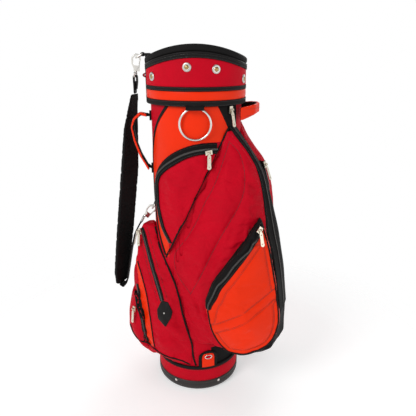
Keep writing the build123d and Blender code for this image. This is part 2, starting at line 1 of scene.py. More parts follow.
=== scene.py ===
"""Looks of a soft golf cart bag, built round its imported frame.

Metres, +Z up, the bag's front face towards -Y, the same frame as the part. Outlines drawn on the front
view are (across, up) in millimetres; places on the tube are (angle from the front, height).
"""

import json
from math import atan2, cos, degrees, pi, radians, sin, sqrt

import bmesh
import bpy
import numpy as np
from mathutils import Matrix, Vector, noise
from mathutils.bvhtree import BVHTree

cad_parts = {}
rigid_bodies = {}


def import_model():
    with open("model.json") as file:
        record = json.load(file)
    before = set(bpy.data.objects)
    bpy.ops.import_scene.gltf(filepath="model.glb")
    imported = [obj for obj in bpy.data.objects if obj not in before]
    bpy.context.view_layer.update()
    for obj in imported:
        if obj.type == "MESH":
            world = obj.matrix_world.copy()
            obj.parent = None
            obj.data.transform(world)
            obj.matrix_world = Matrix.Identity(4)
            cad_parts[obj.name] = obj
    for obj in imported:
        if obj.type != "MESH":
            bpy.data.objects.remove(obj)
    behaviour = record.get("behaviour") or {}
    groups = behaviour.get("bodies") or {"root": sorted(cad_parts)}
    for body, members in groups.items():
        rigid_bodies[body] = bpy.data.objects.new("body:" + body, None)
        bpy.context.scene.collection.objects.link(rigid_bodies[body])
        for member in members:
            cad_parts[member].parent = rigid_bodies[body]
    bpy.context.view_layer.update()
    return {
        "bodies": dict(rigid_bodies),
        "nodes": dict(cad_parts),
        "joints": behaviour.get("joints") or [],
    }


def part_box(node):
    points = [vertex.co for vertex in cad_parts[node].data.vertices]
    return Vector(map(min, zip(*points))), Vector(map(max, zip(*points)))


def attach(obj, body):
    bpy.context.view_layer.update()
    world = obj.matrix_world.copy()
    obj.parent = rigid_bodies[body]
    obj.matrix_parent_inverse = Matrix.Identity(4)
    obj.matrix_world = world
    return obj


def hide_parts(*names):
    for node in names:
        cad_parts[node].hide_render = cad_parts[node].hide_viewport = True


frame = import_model()
NODES = frame["nodes"]
JOINTS = {joint["child"]: joint for joint in frame["joints"]}
MM = 0.001

# ---- Sizes taken from the frame ------------------------------------------------------------------
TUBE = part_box("body_cover")[1].x                 # outer radius of the tube's cover
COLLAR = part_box("cuff_wrap")[1].x                # outer radius of the collar's wrap
COLLAR_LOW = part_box("cuff_tapes")[0].z
COLLAR_MIDDLE_LOW, COLLAR_MIDDLE_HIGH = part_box("cuff_orange_band")[0].z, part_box("cuff_orange_band")[1].z
COLLAR_TAPE_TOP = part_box("cuff_tapes")[1].z
RIM_TOP, RIM_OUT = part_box("rim_trim")[1].z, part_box("rim_trim")[1].x
CUP_OUT, CUP_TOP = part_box("base_cup")[1].x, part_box("base_cup")[1].z
BAND_TOP, PIPING_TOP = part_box("base_band")[1].z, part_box("base_piping")[1].z
SADDLE_RADIUS = 276 * MM                         # the rim dips at both sides like a saddle

# ---- Seams and edges on the front view (across, up), millimetres ---------------------------------
def level(node, height):
    """Where a node's mesh crosses a height, in front of the bag's middle: rows of x, y, z in millimetres."""
    mesh = NODES[node].data
    spots = np.array([vertex.co for vertex in mesh.vertices]) / MM
    ends = spots[np.array([edge.vertices[:] for edge in mesh.edges])]
    first, last = ends[:, 0], ends[:, 1]
    crossing = (first[:, 2] > height) != (last[:, 2] > height)
    first, last = first[crossing], last[crossing]
    share = (height - first[:, 2]) / (last[:, 2] - first[:, 2])
    met = first + (last - first) * share[:, None]
    return met[met[:, 1] < 0]


def cut(node, height):
    """How far a node reaches across the front at a height: its left end and its right end."""
    across = level(node, height)[:, 0]
    return float(across.min()), float(across.max())


def tape_places(node, share, high, low, count=9):
    """Places in metres down a tape: at share 0 its left edge, at share 1 its right edge."""
    result = []
    for height in np.linspace(high, low, count):
        spots = level(node, height)
        left, right = spots[spots[:, 0].argmin()], spots[spots[:, 0].argmax()]
        result.append(Vector(left + (right - left) * share) * MM)
    return result


def edge_of(node, high, low, hand, count=8):
    """A node's left (0) or right (1) edge from one height down to another."""
    return [(cut(node, z)[hand], z) for z in np.linspace(high, low, count)]


def front_outline(node, rounds=8, pitch=4.0):
    """A node's outline on the front view, anticlockwise from its top right corner, with its corners eased."""
    spots = sorted({(round(v.co.x / MM, 1), round(v.co.z / MM, 1)) for v in NODES[node].data.vertices})
    halves = []
    for order in (spots, spots[::-1]):
        chain = []
        for x, z in order:
            while len(chain) > 1:
                (x1, z1), (x2, z2) = chain[-2:]
                if (x2 - x1) * (z - z1) - (z2 - z1) * (x - x1) > 0:
                    break
                chain.pop()
            chain.append((x, z))
        halves += chain[:-1]
    path = even_path([Vector(spot) for spot in halves + halves[:1]], pitch, True)
    for _ in range(rounds):
        path = [(a + b * 2 + c) / 4 for a, b, c in zip(path[-1:] + path[:-1], path, path[1:] + path[:1])]
    top = max(range(len(path)), key=lambda i: path[i].x + path[i].y)
    return [tuple(spot) for spot in path[top:] + path[:top]]


def even_path(points, pitch, closed=False):
    """The same line with its points at an even pitch."""
    steps = np.cumsum([0.0] + [(b - a).length for a, b in zip(points, points[1:])])
    count = max(2, round(steps[-1] / pitch))
    wanted = np.linspace(0, steps[-1], count + 1)
    columns = [np.interp(wanted, steps, [point[k] for point in points]) for k in range(len(points[0]))]
    path = [Vector(values) for values in zip(*columns)]
    return path[:-1] if closed else path


def moved(outline, gap, closed=False):
    """An outline moved to its left by a gap in millimetres, or by a gap worked out at each point."""
    count = len(outline)
    result = []
    for i, (x, z) in enumerate(outline):
        before = outline[(i - 1) % count if closed else max(i - 1, 0)]
        after = outline[(i + 1) % count if closed else min(i + 1, count - 1)]
        along = Vector((after[0] - before[0], after[1] - before[1])).normalized()
        far = gap(x, z) if callable(gap) else gap
        result.append((x - along.y * far, z + along.x * far))
    return result


def kept_side(outline, start, end):
    """The part of a closed outline to the left of a line from start to end."""
    def left_by(spot):
        return (end[0] - start[0]) * (spot[1] - start[1]) - (end[1] - start[1]) * (spot[0] - start[0])

    result = []
    for a, b in zip(outline, outline[1:] + outline[:1]):
        if left_by(a) >= 0:
            result.append(a)
        if (left_by(a) >= 0) != (left_by(b) >= 0):
            share = left_by(a) / (left_by(a) - left_by(b))
            result.append((a[0] + (b[0] - a[0]) * share, a[1] + (b[1] - a[1]) * share))
    return result


APEX = (75, 703)                                 # where the main pocket runs out under the main zip
POCKET_DIAGONAL = [APEX] + edge_of("main_pocket", 640, 455, 0, 5) + [(-76, 380)]
LEFT_BORDER = edge_of("left_pocket", 446, 105, 1, 9) + [(-4, 80)]
MAIN_ZIP_INNER = [APEX] + edge_of("main_zip_tape", 650, 500, 0, 6)
MAIN_ZIP_LOW = 255                               # height where the main zip ends beside the ball pocket
BLACK_FROM = MAIN_ZIP_INNER + [(x - 9, z) for x, z in edge_of("main_zip_tape", 430, 250, 0, 4)]
BLACK_FROM += [(190, 185), (140, 120)]

FACE_TIP, FACE_TOP, FACE_SIDE = (-15, 300), (76, 672), (112, 590)
FACE_MARGIN = 26                                 # from the diagonal piping to the quilted line inside it
FACE_STITCH_LEFT = [FACE_TOP] + moved(POCKET_DIAGONAL[2:], FACE_MARGIN)[:-1]
FACE_STITCH_LEFT += [(-53, 395), (-48, 345), FACE_TIP]
FACE_STITCH_RIGHT = [FACE_TIP, (50, 445), (100, 535), FACE_SIDE, (100, 645), FACE_TOP]

BALL_OUTLINE = front_outline("ball_pocket")
BALL_ZIP_WIDTH, BALL_ZIP_FOOT = 22, 280
BALL_LEFT = next(i for i, (x, z) in enumerate(BALL_OUTLINE) if z < BALL_ZIP_FOOT)
BALL_ZIP_OUTER = BALL_OUTLINE[:BALL_LEFT:3]
BALL_ZIP_INNER = moved(BALL_ZIP_OUTER, lambda x, z: min(BALL_ZIP_WIDTH, 10 + (z - BALL_ZIP_FOOT) * 0.3))
BALL_EDGE = BALL_OUTLINE[BALL_LEFT - 1::4]
PANEL_MARGIN, CHANNEL = 13, 25                   # quilted panels of the ball pocket, and the gap between them
CHANNEL_LEFT, CHANNEL_RIGHT = (40, 242), (190, 336)


def panel_margin(x, z):
    """The quilting keeps further from the edge where the zip runs."""
    share = min(1, max(0, (z - 235) / 90))
    beside_zip = x < (z - 60) * 0.42
    return PANEL_MARGIN + (share * share * (3 - 2 * share) * BALL_ZIP_WIDTH if beside_zip else 0)


QUILTED = moved(BALL_OUTLINE, panel_margin, True)[::3]
BALL_PANEL_HIGH = kept_side(QUILTED, CHANNEL_LEFT, CHANNEL_RIGHT)
BALL_PANEL_LOW = kept_side(QUILTED, (CHANNEL_RIGHT[0], CHANNEL_RIGHT[1] - CHANNEL),
                           (CHANNEL_LEFT[0], CHANNEL_LEFT[1] - CHANNEL))

UPPER_MIDDLE, UPPER_REACH, UPPER_RISE = (30, 560), 130, 112    # the ellipse that the upper zip's arc follows
UPPER_ARC = [(UPPER_MIDDLE[0] - UPPER_REACH * sin(radians(turn)),
              UPPER_MIDDLE[1] + UPPER_RISE * cos(radians(turn)))
             for turn in range(-8, 89, 8)]
UPPER_SIDE = [UPPER_ARC[-1], (-99, 520), (-88, 465), (-68, 425)]
UPPER_ZIP_OUTER = UPPER_ARC + UPPER_SIDE[1:]
UPPER_ZIP_INNER = moved(UPPER_ZIP_OUTER, lambda x, z: 10 + 12 * min(max((z - 590) / 50, 0), 1))
UPPER_ARC.reverse()

LEFT_ZIP = [(-140, 438), (-110, 336), (-88, 266)]
FLAP_WIDTH = 14                                  # of the stitched flaps on both sides of the left zip
LEFT_FLAP_SEAMS = [moved(LEFT_ZIP, FLAP_WIDTH), moved(LEFT_ZIP, -FLAP_WIDTH)]
LOW_LEFT_ZIP = [(-158, 285), (-150, 222), (-135, 126)]
STRIP_TOP = (-155, 350)                          # the orange strip widens from here down to the base
ORANGE_STRIP_LEFT = [STRIP_TOP, (-148, 260), (-130, 120)]
ORANGE_STRIP_RIGHT = [STRIP_TOP, (-130, 260), (-114, 120)]
PATCH = [(-90, 266), (-72, 266), (-62, 240), (-66, 224), (-80, 200), (-100, 214), (-102, 240)]
LEFT_BOTTOM = [(-182, 165), (-168, 132), (-110, 112), (-50, 101), (-20, 82)]

# ---- Edges of the tube's panels (angle, height) ---------------------------------------------------
PANEL_WIDEST = (-78, 590)                        # the orange front panel bows out to here
PANEL_TOP, PANEL_FOOT = (-35, 752), (-46, 385)   # and back in to here, above and below


def panel_bow(end, heights):
    """The panel's edge from its widest place towards an end: a parabola."""
    (middle, height), (across, far) = PANEL_WIDEST, end
    return [(middle + (across - middle) * ((z - height) / (far - height)) ** 2, z) for z in heights]


PANEL_LEFT = panel_bow(PANEL_TOP, (752, 720, 685, 640, 590)) + panel_bow(PANEL_FOOT, (520, 450, 385))
PANEL_RIGHT = [(28, 752), (43, 704), (40, 660)]
V_RIGHT = [(57, 752), (58, 705), (62, 690)]
BACK_SEAM_ANGLE = 128


# ---- Shader sums ----------------------------------------------------------------------------------
class Sum:
    """A shader value; arithmetic on it adds the Math nodes that work it out."""

    def __init__(self, finish, socket):
        self.finish, self.socket = finish, socket

    def math(self, operation, *values):
        return self.finish.node("ShaderNodeMath", {"operation": operation}, dict(enumerate(values)))

    def __add__(self, other):
        return self.math("ADD", self, other)

    def __sub__(self, other):
        return self.math("SUBTRACT", self, other)

    def __mul__(self, other):
        return self.math("MULTIPLY", self, other)

    def __rsub__(self, other):
        return self.math("SUBTRACT", other, self)

    def __gt__(self, other):
        return self.math("GREATER_THAN", self, other)

    __radd__ = __add__
    __rmul__ = __mul__

    def sine(self):
        return self.math("SINE", self)

    def size(self):
        return self.math("ABSOLUTE", self)

    def clamped(self):
        return self.finish.node("ShaderNodeClamp", {}, {0: self})


class Finish:
    """A material that is built up from its base colour, its gloss and its surface."""

    made = {}

    def __init__(self, name, colour, roughness, **constants):
        self.material = bpy.data.materials.new(name)
        self.material.use_nodes = True
        self.tree = self.material.node_tree
        self.shader = self.tree.nodes["Principled BSDF"]
        self.colour = (*colour, 1.0)
        self.put("Base Color", self.colour)
        self.put("Roughness", roughness)
        for socket, value in constants.items():
            self.put(socket.replace("_", " ").title().replace("Ior", "IOR"), value)
        Finish.made[name] = self.material

    def put(self, socket, value):
        """Set one of the shader's own sockets, or link a worked-out value to it."""
        if isinstance(value, Sum):
            self.tree.links.new(value.socket, self.shader.inputs[socket])
        else:
            self.shader.inputs[socket].default_value = value

    def node(self, kind, settings, sockets, output=0):
        """Add any node: its settings first, then the values or links of its sockets."""
        node = self.tree.nodes.new(kind)
        for name, value in settings.items():
            setattr(node, name, value)
        for key, value in sockets.items():
            if isinstance(value, Sum):
                self.tree.links.new(value.socket, node.inputs[key])
            else:
                node.inputs[key].default_value = value
        return Sum(self, node.outputs[output])

    def place(self):
        return self.node("ShaderNodeTexCoord", {}, {}, "Object")

    def cloth_map(self):
        return self.node("ShaderNodeUVMap", {"uv_map": "cloth"}, {})

    def parts(self, vector):
        split = self.node("ShaderNodeSeparateXYZ", {}, {0: vector})
        return [Sum(self, output) for output in split.socket.node.outputs]

    def noise(self, scale, detail=3.0, roughness=0.55, where=None):
        sockets = {"Vector": where or self.place(), "Scale": scale, "Detail": detail, "Roughness": roughness}
        return self.node("ShaderNodeTexNoise", {}, sockets)

    def cells(self, scale, feature="F1"):
        sockets = {"Vector": self.place(), "Scale": scale}
        return self.node("ShaderNodeTexVoronoi", {"feature": feature}, sockets, "Distance")

    def shade(self, amount, dark, light):
        """The base colour made darker or lighter, as an amount between 0 and 1 says."""
        low = tuple(min(1, channel * dark) for channel in self.colour[:3]) + (1.0,)
        high = tuple(min(1, channel * light) for channel in self.colour[:3]) + (1.0,)
        return self.blend(amount, low, high)

    def blend(self, amount, low, high):
        return self.node("ShaderNodeMix", {"data_type": "RGBA"}, {0: amount, 6: low, 7: high}, 2)

    def relief(self, height, depth, strength=1.0):
        """Raise the surface by depth metres times height."""
        bump = self.node("ShaderNodeBump", {}, {"Strength": strength, "Distance": depth, "Height": height})
        self.put("Normal", bump)

    def flat_place(self):
        """Two coordinates that lie in the surface: across it, and up it."""
        x, y, z = self.parts(self.place())
        nx, ny, _ = self.parts(self.node("ShaderNodeNewGeometry", {}, {}, "True Normal"))
        sideways = nx.size() > ny.size()
        return x + (y - x) * sideways, z


THREAD = 2 * pi / (1.1 * MM)                     # a nylon weave of 1.1 mm pitch


def nylon(name, colour, lift=1.25):
    """Coarse woven nylon with a coated back: a fine basket weave, slightly uneven dye, soft sheen."""
    finish = Finish(name, colour, 0.6, specular_ior_level=0.07)
    across, up = finish.flat_place()
    weave = (across * THREAD).sine() * (up * THREAD).sine() * 0.5 + 0.5
    cloudy = finish.noise(14, 4)
    finish.put("Base Color", finish.shade((cloudy * 0.8 + weave * 0.2).clamped(), 0.72, lift))
    finish.put("Roughness", cloudy * 0.22 + 0.5)
    finish.relief(weave * 0.35 + finish.noise(160, 3) * 0.65, 0.35 * MM, 0.8)


def coated_leather(name, colour, dark=0.82, light=1.12, roughness=0.4):
    """Polyurethane-coated cloth with a fine pebble grain."""
    finish = Finish(name, colour, roughness, coat_weight=0.03, coat_roughness=0.25, specular_ior_level=0.1)
    grain = finish.cells(820)
    cloudy = finish.noise(11, 4)
    finish.put("Base Color", finish.shade(cloudy * 0.75 + grain * 0.3, dark, light))
    finish.put("Roughness", cloudy * 0.2 + (roughness - 0.1))
    finish.relief(grain * 0.6 + finish.noise(90, 3) * 0.4, 0.4 * MM, 0.55)


def webbing(name, colour, pitch=1.6 * MM):
    """Woven tape whose ribs lie across it."""
    finish = Finish(name, colour, 0.72, specular_ior_level=0.16)
    along, across, _ = finish.parts(finish.cloth_map())
    ribs = (along * (2 * pi / pitch) + (across * 900).sine() * 0.6).sine() * 0.5 + 0.5
    worn = finish.noise(30, 4)
    finish.put("Base Color", finish.shade((ribs * 0.45 + worn * 0.55).clamped(), 0.5, 1.6))
    finish.put("Roughness", worn * 0.25 + 0.58)
    finish.relief(ribs, 0.25 * MM, 0.8)


def twill(name, colour, light=1.8):
    """Plain dark cloth for parts whose weave runs on every side."""
    finish = Finish(name, colour, 0.78, specular_ior_level=0.13)
    across, up = finish.flat_place()
    diagonal = ((across + up) * (2 * pi / (1.3 * MM))).sine() * 0.5 + 0.5
    worn = finish.noise(24, 4)
    finish.put("Base Color", finish.shade((diagonal * 0.35 + worn * 0.65).clamped(), 0.6, light))
    finish.put("Roughness", worn * 0.2 + 0.66)
    finish.relief(diagonal * 0.5 + worn * 0.5, 0.2 * MM, 0.8)


def moulded(name, colour, roughness=0.48):
    """Moulded plastic with a spark-eroded texture and faint scuffs."""
    finish = Finish(name, colour, roughness)
    speckle = finish.noise(700, 2)
    scuff = finish.noise(26, 6, 0.7)
    finish.put("Base Color", finish.shade(scuff, 0.75, 1.5))
    finish.put("Roughness", scuff * 0.25 + (roughness - 0.1))
    finish.relief(speckle, 0.15 * MM, 0.6)


def metal(name, colour, roughness=0.28, brush=1500):
    """Plated metal, finely brushed, duller where hands have rubbed it."""
    finish = Finish(name, colour, roughness, metallic=1.0)
    rubbed = finish.noise(60, 5)
    finish.put("Base Color", finish.shade(rubbed, 0.78, 1.12))
    finish.put("Roughness", rubbed * 0.2 + (roughness - 0.08))
    finish.relief(finish.noise(brush, 2), 0.04 * MM, 0.4)


def thread(name, colour):
    """Twisted sewing thread."""
    finish = Finish(name, colour, 0.6, sheen_weight=0.2)
    twist = finish.noise(900, 2)
    finish.put("Base Color", finish.shade(twist, 0.75, 1.3))
    finish.relief(twist, 0.1 * MM, 0.6)


def make_finishes():
    nylon("red_nylon", (0.50, 0.0008, 0.0125))
    coated_leather("orange_leather", (0.80, 0.026, 0.0010))
    webbing("rib_tape", (0.0055, 0.0050, 0.0050))
    twill("black_cloth", (0.0055, 0.0050, 0.0050))
    twill("zip_cloth", (0.0045, 0.0042, 0.0042), 1.6)
    twill("inner_cloth", (0.013, 0.012, 0.012), 1.5)
    moulded("cup_plastic", (0.010, 0.007, 0.006), 0.5)
    moulded("divider_plastic", (0.02, 0.02, 0.021), 0.55)
    coated_leather("patch_leather", (0.009, 0.008, 0.008), 0.7, 1.6, 0.42)
    metal("ring_steel", (0.72, 0.70, 0.66), 0.2)
    metal("zip_nickel", (0.74, 0.68, 0.56), 0.26)
    metal("washer_silver", (0.58, 0.56, 0.53), 0.32)
    metal("stud_brass", (0.42, 0.29, 0.12), 0.3)
    metal("coil_grey", (0.13, 0.125, 0.12), 0.45)
    thread("dark_thread", (0.022, 0.006, 0.010))
    thread("brown_thread", (0.030, 0.008, 0.006))
    thread("red_thread", (0.40, 0.004, 0.016))


# ---- Mesh helpers ---------------------------------------------------------------------------------
def polar(radius, angle, height):
    """A point at a radius, an angle from the front and a height."""
    return Vector((radius * sin(radians(angle)), -radius * cos(radians(angle)), height))


def new_piece(name, mesh):
    piece = bpy.data.objects.new(name, mesh)
    bpy.context.scene.collection.objects.link(piece)
    return piece


def keep(piece, body, slot, *replaced):
    """Hand a finished piece to the frame."""
    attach(piece, body)
    if replaced:
        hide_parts(*replaced)
    return piece


def grid_mesh(name, rows, finish, row_closed=True, closed=False):
    """A closed skin over rows of points, with a cloth map in metres along and across."""
    bm = bmesh.new()
    cloth = bm.loops.layers.uv.new("cloth")
    verts = [[bm.verts.new(point) for point in row] for row in rows]
    count, width = len(rows), len(rows[0])
    steps = [0.0]
    for a, b in zip(rows, rows[1:]):
        steps.append(steps[-1] + sum((p - q).length for p, q in zip(a, b)) / width)
    steps.append(steps[-1] + (Vector(rows[0][0]) - Vector(rows[-1][0])).length)
    sides = [0.0]
    middle = rows[count // 2]
    for a, b in zip(middle, middle[1:] + middle[:1]):
        sides.append(sides[-1] + (Vector(a) - Vector(b)).length)
    for i in range(count if closed else count - 1):
        for j in range(width if row_closed else width - 1):
            corners = [(i, j), (i, j + 1), (i + 1, j + 1), (i + 1, j)]
            face = bm.faces.new([verts[a % count][b % width] for a, b in corners])
            face.smooth = True
            for loop, (a, b) in zip(face.loops, corners):
                loop[cloth].uv = (steps[a], sides[b])
    if not closed and row_closed:
        bm.faces.new(verts[0])
        bm.faces.new(verts[-1][::-1])
    bmesh.ops.recalc_face_normals(bm, faces=bm.faces)
    mesh = bpy.data.meshes.new(name)
    bm.to_mesh(mesh)
    bm.free()
    mesh.materials.append(Finish.made[finish])
    return new_piece(name, mesh)


def around(name, profile, finish, body="bag", slot="black_trim", replaced=(), start=0, end=360, count=180):
    """A profile of (radius, height) for each angle, carried round the bag."""
    whole = end - start == 360
    angles = [start + (end - start) * i / count for i in range(count if whole else count + 1)]
    rows = [[polar(radius, angle, height) for radius, height in profile(angle)] for angle in angles]
    return keep(grid_mesh(name, rows, finish, closed=whole), body, slot, *replaced)


def smooth_path(points, pitch, closed=False):
    """Points at an even pitch along a smooth curve through the given ones."""
    points = [Vector(point) for point in points]
    count = len(points)
    dense = []
    for i in range(count if closed else count - 1):
        if closed:
            a, b, c, d = (points[(i + k) % count] for k in (-1, 0, 1, 2))
        else:
            a, b, c, d = (points[min(max(i + k, 0), count - 1)] for k in (-1, 0, 1, 2))
        for k in range(16):
            t = k / 16
            curve = (c - a) * t + (a * 2 - b * 5 + c * 4 - d) * t * t + (b * 3 - a - c * 3 + d) * t ** 3
            dense.append(b + curve * 0.5)
    dense.append(points[0] if closed else points[-1])
    return even_path(dense, pitch, closed)


def frames_along(line, closed=False):
    """(point, along, outward, sideways) at each place of a laid line."""
    result = []
    count = len(line)
    for i, (point, outward) in enumerate(line):
        before = line[(i - 1) % count if closed else max(i - 1, 0)][0]
        after = line[(i + 1) % count if closed else min(i + 1, count - 1)][0]
        along = (after - before).normalized()
        out = (outward - along * outward.dot(along)).normalized()
        result.append((point, along, out, along.cross(out)))
    return result


class Skin:
    """The soft surfaces that trims are sewn to."""

    def __init__(self):
        self.points, self.faces = [], []
        self.tree = None

    def add(self, piece):
        base = len(self.points)
        self.points += [vertex.co.copy() for vertex in piece.data.vertices]
        self.faces += [[base + i for i in face.vertices] for face in piece.data.polygons]
        self.tree = BVHTree.FromPolygons(self.points, self.faces)

    def lay(self, outline, pitch=4.0, closed=False, even=3, sharp=False, spots=False):
        """Lay a line drawn on the front view against the surface behind it."""
        flat = [Vector((x, z, 0)) for x, z in outline]
        if spots:
            path = flat
        elif sharp:
            path = even_path(flat + flat[:1] if closed else flat, pitch, closed)
        else:
            path = smooth_path(flat, pitch, closed)
        line = []
        for point in path:
            start = Vector((point.x * MM, -0.4, point.y * MM))
            place, normal, _, _ = self.tree.ray_cast(start, Vector((0, 1, 0)))
            if place is None:
                guess = Vector((start.x, line[-1][0].y if line else -TUBE / 2, start.z))
                place, normal, _, _ = self.tree.find_nearest(guess)
            line.append((place, normal))
        return self.evened(line, closed, even)

    @staticmethod
    def evened(line, closed, turns):
        """Take the small steps out of a laid line."""
        count = len(line)
        for _ in range(turns):
            eased = []
            for i, (point, normal) in enumerate(line):
                if not closed and i in (0, count - 1):
                    eased.append((point, normal))
                    continue
                a, b = line[i - 1], line[(i + 1) % count]
                eased.append(((a[0] + point * 2 + b[0]) / 4, (a[1] + normal * 2 + b[1]).normalized()))
            line = eased
        return line

    def drop(self, point, outward, reach=14 * MM):
        """Where a point meets the surface below it, or the point itself."""
        place, _, _, _ = self.tree.ray_cast(point + outward * reach, -outward, 2 * reach)
        return place if place is not None else point


FLANK_MIDDLE = Vector((35, 10, 0)) * MM          # the middle of the bag's swollen right half, in plan


def flank_line(points):
    """A smooth laid line through places on the bag's right flank."""
    path = smooth_path(points, 4 * MM)
    return [(point, Vector((*(point - FLANK_MIDDLE).xy, 0)).normalized()) for point in path]


def on_tube(points, radius=TUBE, pitch=4.0, closed=False):
    """Lay a line given as (angle, height in millimetres) on the tube."""
    flat = smooth_path([(radians(angle) * radius / MM, height, 0) for angle, height in points], pitch, closed)
    line = []
    for spot in flat:
        angle = degrees(spot.x * MM / radius)
        line.append((polar(radius, angle, spot.y * MM), polar(1, angle, 0)))
    return line


def piping(name, line, radius, finish="rib_tape", closed=False, lift=0.3, body="bag", slot="black_trim"):
    """A covered cord sewn along a laid line."""
    rows = []
    for point, _, out, side in frames_along(line, closed):
        middle = point + out * radius * lift
        turns = [2 * pi * k / 8 for k in range(8)]
        rows.append([middle + out * radius * cos(turn) + side * radius * sin(turn) for turn in turns])
    return keep(grid_mesh(name, rows, finish, closed=closed), body, slot)


def band(name, skin, line, width, finish, height=1.6 * MM, closed=False, offset=0.0, body="bag",
         slot="zip_tape", steps=8, replaced=()):
    """A flat tape sewn along a laid line, following the surface across its width."""
    rows = []
    widths = width if callable(width) else (lambda share: width)
    frames = frames_along(line, closed)
    for i, (point, _, out, side) in enumerate(frames):
        half = widths(i / (len(frames) - 1)) / 2
        top, low = [], []
        for k in range(steps + 1):
            across = -half + 2 * half * k / steps + offset
            foot = point + side * across
            if skin is not None:
                foot = skin.drop(foot, out)
            edge = min(1.0, 3.2 * (1 - abs(2 * k / steps - 1)) + 0.35)
            top.append(foot + out * height * edge)
            low.append(foot - out * 1.0 * MM)
        rows.append(top + low[::-1])
    return keep(grid_mesh(name, rows, finish, closed=closed), body, slot, *replaced)


# ---- Rows of stitches, teeth and ribs --------------------------------------------------------------
def row_tree(name, shape, finish):
    """A tree that sets one small shape again and again along a line that knows its outward side."""
    tree = bpy.data.node_groups.new(name, "GeometryNodeTree")
    tree.interface.new_socket("Line", in_out="INPUT", socket_type="NodeSocketGeometry")
    for size in ("Spacing", "Length", "Width", "Height"):
        tree.interface.new_socket(size, in_out="INPUT", socket_type="NodeSocketFloat")
    tree.interface.new_socket("Row", in_out="OUTPUT", socket_type="NodeSocketGeometry")
    nodes, links = tree.nodes, tree.links
    given, made = nodes.new("NodeGroupInput"), nodes.new("NodeGroupOutput")
    curve = nodes.new("GeometryNodeMeshToCurve")
    even = nodes.new("GeometryNodeResampleCurve")
    even.mode = "LENGTH"
    tangent = nodes.new("GeometryNodeInputTangent")
    outward = nodes.new("GeometryNodeInputNamedAttribute")
    outward.data_type = "FLOAT_VECTOR"
    outward.inputs["Name"].default_value = "outward"
    turn = nodes.new("FunctionNodeAxesToRotation")
    turn.primary_axis, turn.secondary_axis = "X", "Z"
    size = nodes.new("ShaderNodeCombineXYZ")
    place = nodes.new("GeometryNodeInstanceOnPoints")
    if shape == "stitch":
        item = nodes.new("GeometryNodeMeshUVSphere")
        item.inputs["Segments"].default_value, item.inputs["Rings"].default_value = 6, 4
        item.inputs["Radius"].default_value = 0.5
    else:
        item = nodes.new("GeometryNodeMeshCube")
    real = nodes.new("GeometryNodeRealizeInstances")
    coat = nodes.new("GeometryNodeSetMaterial")
    coat.inputs["Material"].default_value = Finish.made[finish]
    links.new(given.outputs["Line"], curve.inputs["Mesh"])
    links.new(curve.outputs["Curve"], even.inputs["Curve"])
    links.new(given.outputs["Spacing"], even.inputs["Length"])
    links.new(even.outputs["Curve"], place.inputs["Points"])
    links.new(item.outputs["Mesh"], place.inputs["Instance"])
    links.new(tangent.outputs["Tangent"], turn.inputs["Primary Axis"])
    links.new(outward.outputs["Attribute"], turn.inputs["Secondary Axis"])
    links.new(turn.outputs["Rotation"], place.inputs["Rotation"])
    for axis, part in (("X", "Length"), ("Y", "Width"), ("Z", "Height")):
        links.new(given.outputs[part], size.inputs[axis])
    links.new(size.outputs["Vector"], place.inputs["Scale"])
    links.new(place.outputs["Instances"], real.inputs["Geometry"])
    links.new(real.outputs["Geometry"], coat.inputs["Geometry"])
    links.new(coat.outputs["Geometry"], made.inputs["Row"])
    return tree


def row(name, lines, tree, spacing, length, width, height, lift, body="bag", slot="black_trim"):
    """Set the tree's shape along laid lines, and turn the result into one plain mesh."""
    points, edges, outs = [], [], []
    for line in lines:
        for i, (point, _, out, _) in enumerate(frames_along(line)):
            if i:
                edges.append((len(points) - 1, len(points)))
            points.append(point + out * lift)
            outs.append(out)
    mesh = bpy.data.meshes.new(name)
    mesh.from_pydata(points, edges, [])
    side = mesh.attributes.new("outward", "FLOAT_VECTOR", "POINT")
    side.data.foreach_set("vector", np.array(outs, np.float32).ravel())
    guide = new_piece(name + "_guide", mesh)
    rows = guide.modifiers.new("Row", "NODES")
    rows.node_group = tree
    sizes = {"Spacing": spacing, "Length": length, "Width": width, "Height": height}
    for item in tree.interface.items_tree:
        if item.name in sizes:
            rows[item.identifier] = float(sizes[item.name])
    made = bpy.data.meshes.new_from_object(guide.evaluated_get(bpy.context.evaluated_depsgraph_get()))
    made.name = name
    guide.modifiers.clear()
    bpy.data.objects.remove(guide)
    return keep(new_piece(name, made), body, slot)


# ---- Soft pieces ----------------------------------------------------------------------------------
def merged_copy(name, *nodes):
    """A welded copy of CAD nodes' meshes."""
    bm = bmesh.new()
    for node in nodes:
        bm.from_mesh(NODES[node].data)
    bmesh.ops.remove_doubles(bm, verts=bm.verts, dist=0.02 * MM)
    mesh = bpy.data.meshes.new(name)
    bm.to_mesh(mesh)
    bm.free()
    return new_piece(name, mesh)


def apply_modifiers(piece):
    mesh = bpy.data.meshes.new_from_object(piece.evaluated_get(bpy.context.evaluated_depsgraph_get()))
    piece.modifiers.clear()
    old, piece.data = piece.data, mesh
    bpy.data.meshes.remove(old)
    return piece


def soft_copy(name, node, voxel, rounds=6):
    """A CAD soft solid remeshed into even cloth-sized squares with its hard edges eased."""
    piece = merged_copy(name, node)
    remesh = piece.modifiers.new("Even", "REMESH")
    remesh.mode, remesh.voxel_size = "VOXEL", voxel
    ease = piece.modifiers.new("Ease", "SMOOTH")
    ease.factor, ease.iterations = 0.5, rounds
    apply_modifiers(piece)
    for face in piece.data.polygons:
        face.use_smooth = True
    return piece


def places(piece):
    flat = np.zeros(len(piece.data.vertices) * 3, np.float32)
    piece.data.vertices.foreach_get("co", flat)
    return flat.reshape(-1, 3).astype(float)


def normals(piece):
    flat = np.zeros(len(piece.data.vertices) * 3, np.float32)
    piece.data.vertex_normals.foreach_get("vector", flat)
    return flat.reshape(-1, 3).astype(float)


def place_all(piece, where):
    piece.data.vertices.foreach_set("co", where.astype(np.float32).ravel())
    piece.data.update()


